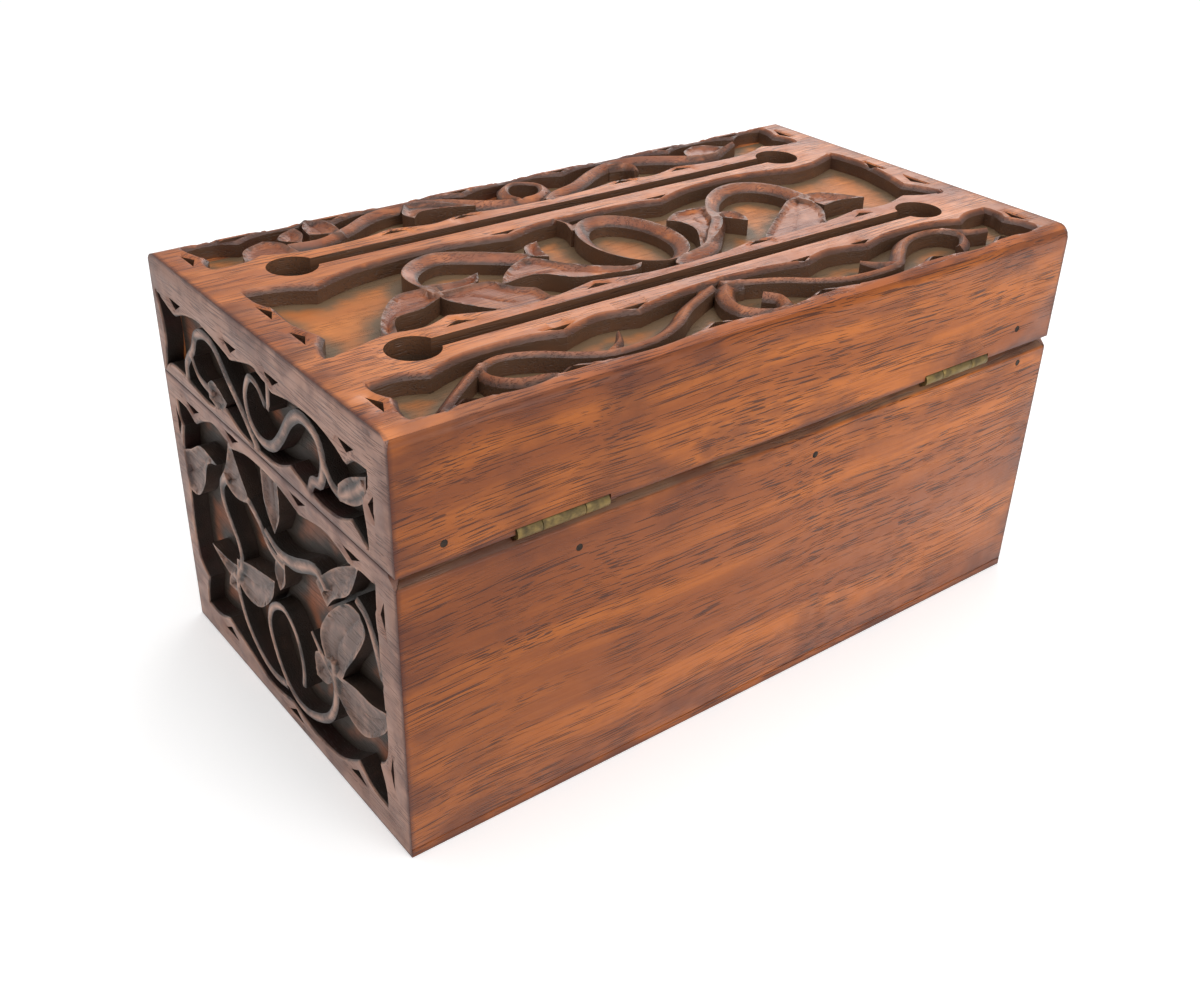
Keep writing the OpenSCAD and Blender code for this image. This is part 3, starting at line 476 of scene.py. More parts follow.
@dataclass(frozen=True)
class Layer:
    """One layer of a panel, in the panel's own plane, with height 0 on the box's outer face.

    Attributes:
        low: Lowest corner of the layer.
        high: Highest corner.
        skin: Depth of its outer face.
        thick: Its thickness.
        mitres: The edges cut back at 45 degrees, named "left", "right", "low" and "high".
        rounded: Radius of the box's edge along those of its sides named in soft.
        soft: The sides whose outer arris is rounded over.
        corners: Radius that rounds off its two high corners, or 0.
        notch: Size of the chamfer at its high right corner, or 0.
    """

    low: Point
    high: Point
    skin: float
    thick: float
    mitres: tuple[str, ...] = ()
    rounded: float = 0.0
    soft: tuple[str, ...] = ()
    corners: float = 0.0
    notch: float = 0.0

    def from_edge(self, points: np.ndarray, name: str) -> np.ndarray:
        """How far each point lies inside the named edge of the box's face."""
        return {"left": points[:, 0] - self.low[0], "right": self.high[0] - points[:, 0],
                "low": points[:, 1] - self.low[1], "high": self.high[1] - points[:, 1]}[name]

    def start(self, name: str) -> float:
        """How far in from the box's arris the layer's own outer face begins on that side."""
        if name not in self.mitres:
            return 0.0
        return max(self.skin, ARRIS, self.rounded * (1 - math.sqrt(0.5)) if name in self.soft else 0.0)

    def outline(self) -> np.ndarray:
        """The closed edge of its outer face, first point repeated."""
        (x0, y0), (x1, y1) = self.low, self.high
        x0, x1 = x0 + self.start("left"), x1 - self.start("right")
        y0, y1 = y0 + self.start("low"), y1 - self.start("high")
        r = self.corners
        if self.notch:
            low, left = self.high[1] - self.notch, self.high[0] - self.notch
            return np.array([(x0, y0), (x1, y0), (x1, low + self.high[0] - x1), (left, y1), (x0, y1),
                             (x0, y0)])
        if not r:
            return np.array([(x0, y0), (x1, y0), (x1, y1), (x0, y1), (x0, y0)])
        turn = np.radians(np.arange(0, 91, 15))
        cx, cy = (self.low[0] + r, self.high[0] - r), self.high[1] - r
        right = [(cx[1] + r * math.cos(a), cy + r * math.sin(a)) for a in turn]
        left = [(cx[0] - r * math.cos(a), cy + r * math.sin(a)) for a in turn[::-1]]
        arc = [(min(x, x1), min(y, y1)) for x, y in right + left]
        return np.array([(x0, y0), (x1, y0), *arc, (x0, y0)])

    def rows(self) -> list[np.ndarray]:
        """Lines parallel to the edges, where the outer or inner face turns."""
        (x0, y0), (x1, y1) = self.low, self.high
        out = []
        for name in ("left", "right", "low", "high"):
            steps = [self.skin + self.thick] if name in self.mitres else []
            steps += [0.3, 0.9, 2, self.rounded] if name in self.soft else [0.45] if not self.skin else []
            for d in steps:
                out.append({"left": [(x0 + d, y0), (x0 + d, y1)], "right": [(x1 - d, y0), (x1 - d, y1)],
                            "low": [(x0, y0 + d), (x1, y0 + d)], "high": [(x0, y1 - d), (x1, y1 - d)]}[name])
        return [np.array(line, float) for line in out]

    def top(self, points: np.ndarray) -> np.ndarray:
        """Height of its outer face before any carving."""
        h = np.full(len(points), -self.skin)
        for name in ("left", "right", "low", "high"):
            d = np.maximum(self.from_edge(points, name), 0)
            if name in self.soft:
                r = self.rounded
                h = np.minimum(h, -(r - np.sqrt(r * r - np.clip(r - d, 0, r) ** 2)))
            elif not self.skin:
                h = np.minimum(h, -np.clip(0.45 - d, 0, ARRIS))
        return h

    def bottom(self, points: np.ndarray) -> np.ndarray:
        """Height of its inner face, with the mitres."""
        h = np.full(len(points), self.skin + self.thick)
        for name in self.mitres:
            h = np.minimum(h, self.from_edge(points, name))
        return -h


@dataclass(frozen=True)
class Carving:
    """How the carved fields of a face are worked.

    Attributes:
        patterns: The fields.
        bevel: Width and depth of the bevel round each opening.
        drop: How far a strap's face slopes down from its ridge.
        hollow: How deep a leaf is hollowed.
        slots: Middles of the long slots with round ends, as heights across the panel.
        grime_and_shade_reach: How far grime and painted shade reach from the walls over the plain layer.
    """

    patterns: list[Pattern]
    bevel: float
    drop: float
    hollow: float
    slots: tuple[float, ...] = ()
    grime_and_shade_reach: float = 5.0

    def slot_edges(self) -> list[np.ndarray]:
        """Closed edges of the slots."""
        out = []
        a0 = math.asin(SLOT_WIDE / SLOT_END)
        for y in self.slots:
            turn = np.linspace(a0, 2 * math.pi - a0, 37)
            left = [(-SLOT_REACH + SLOT_END / 2 * math.cos(a), y + SLOT_END / 2 * math.sin(a)) for a in turn]
            right = [(-x, 2 * y - z) for x, z in left]
            out.append(np.array(left + right + left[:1]))
        return out


@dataclass
class Cut:
    """A face divided into triangles along every line of its carving.

    Attributes:
        points: The corners, in millimetres in the panel's plane.
        faces: The triangles, as rows of three indices.
        solid: Which triangles are wood of the carved layer.
        floor: Which triangles are wood of the plain layer behind it.
        height: The worked height of the carved layer's face at each point.
        rub_and_highlight: How far each point stands up to take rubbing and a painted highlight, from 0 to 1.
        sunk: How far each point lies in the carving, from 0 to 1.
        wall: Distance of each point from the nearest sawn edge.
    """

    points: np.ndarray
    faces: np.ndarray
    solid: np.ndarray
    floor: np.ndarray
    height: np.ndarray
    rub_and_highlight: np.ndarray
    sunk: np.ndarray
    wall: np.ndarray


def scattered(low: np.ndarray, high: np.ndarray, step: float, seed: int) -> np.ndarray:
    """Points in a loose, slightly uneven grid."""
    rng = np.random.default_rng(seed)
    x, y = np.meshgrid(np.arange(low[0], high[0], step), np.arange(low[1], high[1], step))
    grid = np.stack([x.ravel(), y.ravel()], 1)
    return grid + rng.uniform(-0.22, 0.22, grid.shape) * step


def bevel_row(edge: np.ndarray, offset: float) -> np.ndarray:
    """Points beside a closed edge, offset to its outer side."""
    line = edge[:-1]
    d = np.roll(line, -1, 0) - np.roll(line, 1, 0)
    normal = np.stack([d[:, 1], -d[:, 0]], 1) / np.maximum(np.hypot(d[:, 0], d[:, 1]), 1e-9)[:, None]
    area = np.sum(line[:, 0] * np.roll(line[:, 1], -1) - np.roll(line[:, 0], -1) * line[:, 1])
    return line + normal * offset * np.sign(area)


def cut_face(face: Layer, back: Layer, work: Carving) -> Cut:
    """Divides a face along the lines of its carving and works out its heights.

    Args:
        face: The carved layer.
        back: The plain layer behind it.
        work: Its carving.

    Returns:
        The divided face.
    """
    openings = [closed_outline(p.opening) for p in work.patterns]
    openings = [np.concatenate([o, o[:1]]) for o in openings]
    straps = [s for p in work.patterns for s in p.straps]
    leaves = [leaf for p in work.patterns for leaf in p.leaves]
    chips = [c.edge() for p in work.patterns for c in p.chips]
    slots = work.slot_edges()
    outline = face.outline()
    lines = [outline, *openings, *chips, *slots, *(leaf.edge() for leaf in leaves)]
    lines += [e for s in straps for e in s.edges()] + [s.crest() for s in straps]
    lines += [leaf.rib() for leaf in leaves]
    lines = [densified(line, 1.6) for line in [*lines, *face.rows(), *back.rows(), back.outline()]]
    near = Nearness(lines)
    low, high = np.array(face.low, float), np.array(face.high, float)
    loose = [scattered(low + 1, high - 1, 4.0, 7)]
    for o in openings:
        grid = scattered(o.min(0) - 1, o.max(0) + 1, 1.05, 11)
        loose.append(grid[inside(grid, o)])
    beside = [bevel_row(densified(o, 1.2), work.bevel + more) for o in openings for more in (-0.4, 0.0, 0.5)]
    loose = np.concatenate(loose + beside)
    loose = loose[inside(loose, outline) & (near.to(loose) > 0.42)]
    corners, edges = [], []
    for line in lines:
        start = len(corners)
        corners += [Vector((x, y)) for x, y in line]
        edges += [(start + i, start + i + 1) for i in range(len(line) - 1)]
    corners += [Vector((x, y)) for x, y in loose]
    found = delaunay_2d_cdt(corners, edges, [], 0, 1e-3)
    points = np.array([(v.x, v.y) for v in found[0]])
    faces = np.array([f for f in found[2] if len(f) == 3])
    middle = points[faces].mean(1)
    in_opening = np.any([inside(middle, o) for o in openings], axis=0)
    raised = np.zeros(len(faces), bool)
    for s in straps:
        raised |= s.covers(middle)
    for leaf in leaves:
        raised |= inside(middle, leaf.edge())
    cut = in_opening & ~raised
    for c in chips:
        cut |= inside(middle, c)
    floor = inside(middle, outline)
    for s in slots:
        floor &= ~inside(middle, s)
    solid = floor & ~cut
    return Cut(points, faces, solid, floor,
               *worked(points, face, work, openings, straps, leaves, chips, slots))


def worked(points: np.ndarray, face: Layer, work: Carving, openings: list[np.ndarray], straps: list[Strap],
           leaves: list[Leaf], chips: list[np.ndarray], slots: list[np.ndarray]) -> tuple[np.ndarray, ...]:
    """Works out how the carving raises and hollows each point, and where rubbing and a painted highlight
    fall.

    Returns:
        Heights, rubbing with painted highlight, how far each point lies in the carving, and distances from
        sawn edges.
    """
    base = face.top(points)
    rim = Nearness(openings).to(points)
    in_field = np.any([inside(points, o) for o in openings], axis=0) & (rim > ON_LINE)
    flat = base - np.clip(work.bevel - rim, 0, work.bevel)
    flat -= np.clip(0.45 - Nearness(chips).to(points), 0, 0.4)
    if slots:
        flat -= np.clip(0.3 - Nearness(slots).to(points), 0, 0.2)
    height = np.where(in_field, UNDUG, flat)
    # Rubbing with a painted highlight along the bevel's edge; strap ridges and leaf rims get theirs below.
    rub_and_highlight = np.where(in_field, 0.0, np.exp(-((rim - work.bevel) / 0.3) ** 2))
    sunk = np.where(in_field, 1.0, np.clip(0.5 + (work.bevel - rim) / 0.3, 0, 1))
    marks = []
    for strap in straps:
        on = np.flatnonzero(strap.covers(points, 0.02))
        marks += strap.edges()[:2]
        if not len(on):
            continue
        h = strap.profile(points[on], work.drop)
        top = on[h > height[on]]
        rises = h[h > height[on]]
        height[top] = rises
        rub_and_highlight[top] = np.exp(-(((-rises - CREST_DEPTH) / (0.12 + 0.09 * work.drop)) ** 2))
        sunk[top] = 0.75 + 0.25 * np.clip(-rises / max(work.drop, 0.5), 0, 1)
    for leaf in leaves:
        edge = leaf.edge()
        marks.append(edge)
        away = Nearness([edge])
        on = np.flatnonzero(inside(points, edge))
        border = np.flatnonzero(near_box(points, edge, ON_LINE))
        border = border[away.to(points[border]) < ON_LINE] if len(border) else border
        on = np.union1d(on, border)
        if not len(on):
            continue
        e = away.to(points[on])
        r = Nearness([leaf.rib()]).to(points[on])
        bowl = np.clip((e - 0.25) / 1.5, 0, 1)
        h = -LEAF_DEPTH - work.hollow * bowl * bowl * (3 - 2 * bowl) - 0.3 * np.exp(-(r / 0.4) ** 2) * bowl
        h -= 0.18 * np.clip(0.3 - e, 0, 0.3) / 0.3
        up = h > height[on]
        height[on[up]] = h[up]
        rub_and_highlight[on[up]] = np.exp(-((e[up] - 0.2) / 0.4) ** 2)
        sunk[on[up]] = 0.85 + 0.15 * np.exp(-(r[up] / 0.45) ** 2) * bowl[up]
    height = np.where(height > UNDUG + 1, height, -work.bevel)
    wall = Nearness(openings + chips + slots + marks).to(points)
    return height, rub_and_highlight, sunk, wall


def near_box(points: np.ndarray, edge: np.ndarray, slack: float) -> np.ndarray:
    """Which points lie in the box round an edge, or within slack of it."""
    return np.all((points >= edge.min(0) - slack) & (points <= edge.max(0) + slack), axis=1)


def sheet_mesh(name: str, cut: Cut, layer: Layer, side: Side, reach: float) -> bpy.types.Object:
    """Builds one closed layer of a panel, standing in its place in the box.

    Each fan of triangles round a point gets its own corner, so that pieces that only touch stay closed.

    Args:
        name: The new piece's name.
        cut: The divided face.
        layer: The layer to build.
        side: The face of the box that it lies on.
        reach: How far grime and painted shade reach from the walls.

    Returns:
        The new piece, at the origin.
    """
    carved = not layer.skin
    keep = cut.solid if carved else cut.floor & inside(cut.points[cut.faces].mean(1), layer.outline())
    faces = cut.faces[keep]
    faces, owner = fanned(faces)
    points = cut.points[owner]
    wall = cut.wall[owner]
    top = cut.height[owner] if carved else layer.top(points) - floor_ripple(points)
    low = np.minimum(layer.bottom(points), top - THINNEST)
    rub_and_highlight = cut.rub_and_highlight[owner] if carved else np.zeros(len(points))
    sunk = cut.sunk[owner] if carved else np.ones(len(points))
    count = len(points)
    edge_use: dict[tuple[int, int], int] = {}
    for a, b, c in faces:
        for e in ((a, b), (b, c), (c, a)):
            edge_use[e] = 1
    rim = [e for e in edge_use if (e[1], e[0]) not in edge_use]
    up = [tuple(f) for f in faces.tolist()]
    down = [(c + count, b + count, a + count) for a, b, c in faces.tolist()]
    walls = [(a, a + count, b + count, b) for a, b in rim]
    place = PLACES[side]
    both = np.concatenate([np.column_stack([points, top]), np.column_stack([points, low])])
    shape = (both @ place[:, :3].T + place[:, 3]) * MM
    turned = np.linalg.det(place[:, :3]) < 0
    polygons = up + down + walls
    if turned:
        polygons = [tuple(reversed(p)) for p in polygons]
    mesh = bpy.data.meshes.new(name)
    mesh.from_pydata(shape.tolist(), [], polygons)
    plain = np.full(count, 0.3)
    # The first value marks rubbing with a painted highlight, the second how far a point lies in the carving,
    # which takes painted shade, and the third grime and painted shade near the walls.
    for label, upper, lower in (("rub_and_highlight", rub_and_highlight, np.zeros(count)), ("sunk", sunk, plain),
                                ("near_wall", np.exp(-wall / reach), plain)):
        layer_values = mesh.attributes.new(label, "FLOAT", "POINT")
        layer_values.data.foreach_set("value", np.concatenate([upper, lower]).astype(np.float32))
    # Cut walls take the wall colour as painted shade; the outer edges keep the timber.
    sawn = mesh.attributes.new("sawn", "FLOAT", "FACE")
    outer = Nearness([layer.outline()]).to(points) < ON_LINE
    cuts = [0.0 if outer[a] and outer[b] else 1.0 for a, b in rim]
    sawn.data.foreach_set("value", [0.0] * (len(up) + len(down)) + cuts)
    piece = bpy.data.objects.new(name, mesh)
    bpy.context.scene.collection.objects.link(piece)
    tidy(piece, 0.00002)
    shade(piece, 32)
    return piece


def fanned(faces: np.ndarray) -> tuple[np.ndarray, np.ndarray]:
    """Gives every fan of triangles round a corner its own copy of that corner.

    Returns:
        The triangles with their new corners, and the old corner behind each new one.
    """
    around: dict[int, list[int]] = {}
    for k, f in enumerate(faces):
        for v in f:
            around.setdefault(int(v), []).append(k)
    new = faces.copy()
    owner: list[int] = []
    for v, ks in around.items():
        left = set(ks)
        while left:
            group, queue = set(), [left.pop()]
            while queue:
                k = queue.pop()
                group.add(k)
                ring = set(int(x) for x in faces[k]) - {v}
                joined = [m for m in left if ring & set(int(x) for x in faces[m])]
                left -= set(joined)
                queue += joined
            for k in group:
                new[k][faces[k] == v] = len(owner)
            owner.append(v)
    return new, np.array(owner)


def floor_ripple(points: np.ndarray) -> np.ndarray:
    """Fine unevenness that a chisel left on the floor of the openings, in millimetres."""
    return np.array([0.07 * (0.5 + 0.5 * noise.noise((x * 0.16, y * 1.1, 3.0))) for x, y in points])


def tidy(piece: bpy.types.Object, gap: float) -> None:
    """Merges points of a piece that lie closer than gap, and drops faces without area."""
    only(piece)
    bpy.ops.object.mode_set(mode="EDIT")
    bpy.ops.mesh.select_all(action="SELECT")
    bpy.ops.mesh.remove_doubles(threshold=gap)
    bpy.ops.mesh.dissolve_degenerate(threshold=gap / 4)
    bpy.ops.object.mode_set(mode="OBJECT")


def only(piece: bpy.types.Object) -> None:
    """Selects one piece and makes it active."""
    bpy.ops.object.select_all(action="DESELECT")
    piece.select_set(True)
    bpy.context.view_layer.objects.active = piece


def shade(piece: bpy.types.Object, angle: float) -> None:
    """Shades a piece smooth, with sharp edges above an angle in degrees."""
    only(piece)
    bpy.ops.object.shade_smooth_by_angle(angle=math.radians(angle))


# ---------------------------------------------------------------- planks


def plank(name: str, low: Vector, high: Vector, planes: list[tuple[Vector, Vector]], rounding: float = 0.0,
          bevel: float = BOARD_EASE) -> bpy.types.Object:
    """Saws a board out of a block, with its arrises eased.

    Args:
        name: The new piece's name.
        low: Lowest corner of the block, in metres.
        high: Highest corner.
        planes: Saw cuts as (a point on the cut, its normal on the side that falls away).
        rounding: Radius of the upper outer edge on the hinge side, or 0.
        bevel: Width of the eased arrises.

    Returns:
        The board, at the origin.
    """
    piece = block(low, high)
    piece.name = piece.data.name = name
    bpy.ops.object.transform_apply(location=True, rotation=True, scale=True)
    if rounding:
        bpy.ops.object.mode_set(mode="EDIT")
        bpy.ops.mesh.select_mode(type="EDGE")
        bpy.ops.mesh.select_all(action="DESELECT")
        bpy.ops.object.mode_set(mode="OBJECT")
        for edge in piece.data.edges:
            ends = [piece.data.vertices[i].co for i in edge.vertices]
            edge.select = all(p.y > high.y - 1e-6 and p.z > high.z - 1e-6 for p in ends)
        bpy.ops.object.mode_set(mode="EDIT")
        bpy.ops.mesh.bevel(offset=rounding * MM, segments=8, affect="EDGES")
        bpy.ops.object.mode_set(mode="OBJECT")
    for point, normal in planes:
        bpy.ops.object.mode_set(mode="EDIT")
        bpy.ops.mesh.select_all(action="SELECT")
        bpy.ops.mesh.bisect(plane_co=point, plane_no=normal, use_fill=True, clear_outer=True)
        bpy.ops.object.mode_set(mode="OBJECT")
    ease(piece, bevel)
    return piece


def add_bevel(piece: bpy.types.Object, width: float, angle: float) -> bpy.types.Modifier:
    """Adds a bevel to the edges that turn by more than angle degrees."""
    eased = piece.modifiers.new("eased", "BEVEL")
    eased.width, eased.segments, eased.limit_method = width * MM, 2, "ANGLE"
    eased.angle_limit = math.radians(angle)
    return eased


def ease(piece: bpy.types.Object, bevel: float) -> None:
    """Eases the sharp arrises of a new piece."""
    only(piece)
    bpy.ops.object.modifier_apply(modifier=add_bevel(piece, bevel, 30).name)
    shade(piece, SHADE_ANGLE)


def cut_out(piece: bpy.types.Object, cutter: bpy.types.Object) -> None:
    """Cuts one piece out of another, and discards the cutter."""
    only(piece)
    cut = piece.modifiers.new("cut", "BOOLEAN")
    cut.operation, cut.solver, cut.object = "DIFFERENCE", "EXACT", cutter
    bpy.ops.object.modifier_apply(modifier=cut.name)
    bpy.data.objects.remove(cutter)
    shade(piece, SHADE_ANGLE)


def block(low: Vector, high: Vector) -> bpy.types.Object:
    """A plain block between two corners."""
    bpy.ops.object.select_all(action="DESELECT")
    bpy.ops.mesh.primitive_cube_add(size=1, location=(low + high) / 2, scale=high - low)
    return bpy.context.active_object


def rod(centre: Vector, radius: float, length: float, axis: str) -> bpy.types.Object:
    """A plain cylinder about its centre, along the axis named "X" or "Y"."""
    turn = (0, math.pi / 2, 0) if axis == "X" else (math.pi / 2, 0, 0)
    bpy.ops.object.select_all(action="DESELECT")
    bpy.ops.mesh.primitive_cylinder_add(vertices=48, radius=radius, depth=length, location=centre,
                                        rotation=turn)
    return bpy.context.active_object


# ---------------------------------------------------------------- finishes

def tone(red: int, green: int, blue: int) -> tuple[float, float, float, float]:
    """A screen colour from 0 to 255 as a linear colour."""
    parts = [c / 255 for c in (red, green, blue)]
    return (*(c / 12.92 if c <= 0.04045 else ((c + 0.055) / 1.055) ** 2.4 for c in parts), 1.0)


class Graph:
    """Adds nodes to a tree. Inputs are values, or sockets to link."""

    def __init__(self, tree: bpy.types.NodeTree) -> None:
        """Works on an existing tree."""
        self.tree = tree

    def add(self, kind: str, inputs: dict | None = None, **settings: object) -> bpy.types.Node:
        """Adds a node of a kind, with its settings and inputs."""
        node = self.tree.nodes.new(kind)
        for key, value in settings.items():
            setattr(node, key, value)
        for key, value in (inputs or {}).items():
            if isinstance(value, bpy.types.NodeSocket):
                self.tree.links.new(value, node.inputs[key])
            else:
                node.inputs[key].default_value = value
        return node

    def sum(self, operation: str, a: object, b: object = 0.0) -> bpy.types.NodeSocket:
        """A sum on two values."""
        return self.add("ShaderNodeMath", {0: a, 1: b}, operation=operation).outputs[0]

    def mix(self, factor: object, a: object, b: object) -> bpy.types.NodeSocket:
        """A colour between a and b."""
        return self.add("ShaderNodeMix", {0: factor, 6: a, 7: b}, data_type="RGBA").outputs[2]

    def step(self, value: object, low: float, high: float, top: float = 1.0) -> bpy.types.NodeSocket:
        """A smooth step from 0 at low to top at high."""
        return self.add("ShaderNodeMapRange", {0: value, 1: low, 2: high, 3: 0.0, 4: top},
                        interpolation_type="SMOOTHSTEP").outputs[0]

    def stretched(self, vector: object, scale: tuple[float, float, float]) -> bpy.types.NodeSocket:
        """A vector times a scale on each axis."""
        return self.add("ShaderNodeVectorMath", {0: vector, 1: scale}, operation="MULTIPLY").outputs[0]

    def noise(self, vector: object, scale: float, detail: float = 2.0) -> bpy.types.NodeSocket:
        """Soft noise from about 0.25 to 0.75."""
        return self.add("ShaderNodeTexNoise", {"Vector": vector, "Scale": scale, "Detail": detail}).outputs[0]

    def attribute(self, name: str) -> bpy.types.NodeSocket:
        """A value that the mesh carries."""
        return self.add("ShaderNodeAttribute", attribute_name=name).outputs["Fac"]


def group(name: str, inputs: list[tuple[str, str]],
          outputs: list[tuple[str, str]]) -> tuple[Graph, dict, dict]:
    """Starts a node group.

    Returns:
        Its graph, the sockets that come in, and the sockets of its output node.
    """
    tree = bpy.data.node_groups.new(name, "ShaderNodeTree")
    for label, kind in inputs:
        tree.interface.new_socket(label, in_out="INPUT", socket_type="NodeSocket" + kind)
    for label, kind in outputs:
        tree.interface.new_socket(label, in_out="OUTPUT", socket_type="NodeSocket" + kind)
    came = tree.nodes.new("NodeGroupInput").outputs
    goes = tree.nodes.new("NodeGroupOutput").inputs
    return Graph(tree), {s.name: s for s in came if s.name}, {s.name: s for s in goes if s.name}


def timber_group() -> bpy.types.NodeTree:
    """Open-pored timber with its grain along X: streaks, pore dashes, smoky patches and fine fibres."""
    g, given, out = group("Timber", [("Vector", "Vector"), ("Pale", "Color"), ("Deep", "Color"),
                                     ("Pore", "Color"), ("Smoke", "Color")],
                          [("Color", "Color"), ("Height", "Float")])
    vector = given["Vector"]
    sway = g.add("ShaderNodeTexNoise", {"Vector": vector, "Scale": 14.0, "Detail": 1.0}).outputs["Color"]
    shift = g.add("ShaderNodeVectorMath", {0: sway, 1: (0.5, 0.5, 0.5)}, operation="SUBTRACT").outputs[0]
    moved = g.add("ShaderNodeVectorMath", {0: shift, 1: (0.0, 0.006, 0.006), 2: vector},
                  operation="MULTIPLY_ADD").outputs[0]
    streaks = g.step(g.noise(g.stretched(moved, (7, 110, 110)), 1.0, 4.0), 0.36, 0.66)
    fibres = g.noise(g.stretched(moved, (45, 1300, 1300)), 1.0, 3.0)
    dashes = g.noise(g.stretched(moved, (75, 3400, 3400)), 1.0, 0.0)
    clumps = g.step(g.noise(g.stretched(vector, (25, 160, 160)), 1.0, 1.0), 0.3, 0.55)
    pores = g.sum("MULTIPLY", g.step(dashes, 0.58, 0.68), clumps)
    smoke = g.step(g.noise(vector, 42.0, 3.0), 0.53, 0.72, 0.55)
    ground = g.mix(streaks, given["Pale"], given["Deep"])
    ground = g.mix(smoke, ground, given["Smoke"])
    threads = g.mix(g.step(fibres, 0.48, 0.68, 0.6), ground, given["Deep"])
    g.tree.links.new(g.mix(g.sum("MULTIPLY", pores, 0.8), threads, given["Pore"]), out["Color"])
    lifted = g.sum("MULTIPLY", fibres, 0.25)
    g.tree.links.new(g.sum("SUBTRACT", lifted, pores), out["Height"])
    return g.tree


def arris_group() -> bpy.types.NodeTree:
    """Finds the outer arrises of a box: 1 at an arris, falling to 0 at Width inside it."""
    g, given, out = group("Arris", [("Vector", "Vector"), ("Low", "Vector"), ("High", "Vector"),
                                    ("Width", "Float")], [("Mask", "Float"), ("Inside", "Float")])
    up, down = [g.add("ShaderNodeVectorMath", {0: given[a], 1: given[b]}, operation="SUBTRACT").outputs[0]
                for a, b in (("Vector", "Low"), ("High", "Vector"))]
    near = g.add("ShaderNodeVectorMath", {0: up, 1: down}, operation="MINIMUM").outputs[0]
    x, y, z = g.add("ShaderNodeSeparateXYZ", {0: near}).outputs
    least = g.sum("MINIMUM", g.sum("MINIMUM", x, y), z)
    most = g.sum("MAXIMUM", g.sum("MAXIMUM", x, y), z)
    middle = g.sum("SUBTRACT", g.sum("SUBTRACT", g.sum("ADD", g.sum("ADD", x, y), z), least), most)
    uneven = g.sum("MULTIPLY_ADD", g.noise(given["Vector"], 320.0, 2.0), 1.3)
    share = g.sum("DIVIDE", middle, g.sum("MULTIPLY", given["Width"], uneven))
    mask = g.add("ShaderNodeMapRange", {0: share, 1: 0.0, 2: 1.0, 3: 1.0, 4: 0.0}).outputs[0]
    g.tree.links.new(mask, out["Mask"])
    g.tree.links.new(g.step(least, 0.00012, 0.0007), out["Inside"])
    return g.tree


def relief_group() -> bpy.types.NodeTree:
    """Turns a height between 0 and 1 into a normal, as deep as Depth metres."""
    g, given, out = group("Relief", [("Height", "Float"), ("Depth", "Float")], [("Normal", "Vector")])
    bump = g.add("ShaderNodeBump", {"Height": given["Height"], "Distance": given["Depth"], "Strength": 1.0})
    g.tree.links.new(bump.outputs[0], out["Normal"])
    return g.tree


class Grain(Enum):
    """Direction of a piece's grain, as the turn that brings it onto X."""

    ALONG_X = (0.0, 0.0, 0.0)
    ALONG_Y = (0.0, 0.0, math.pi / 2)


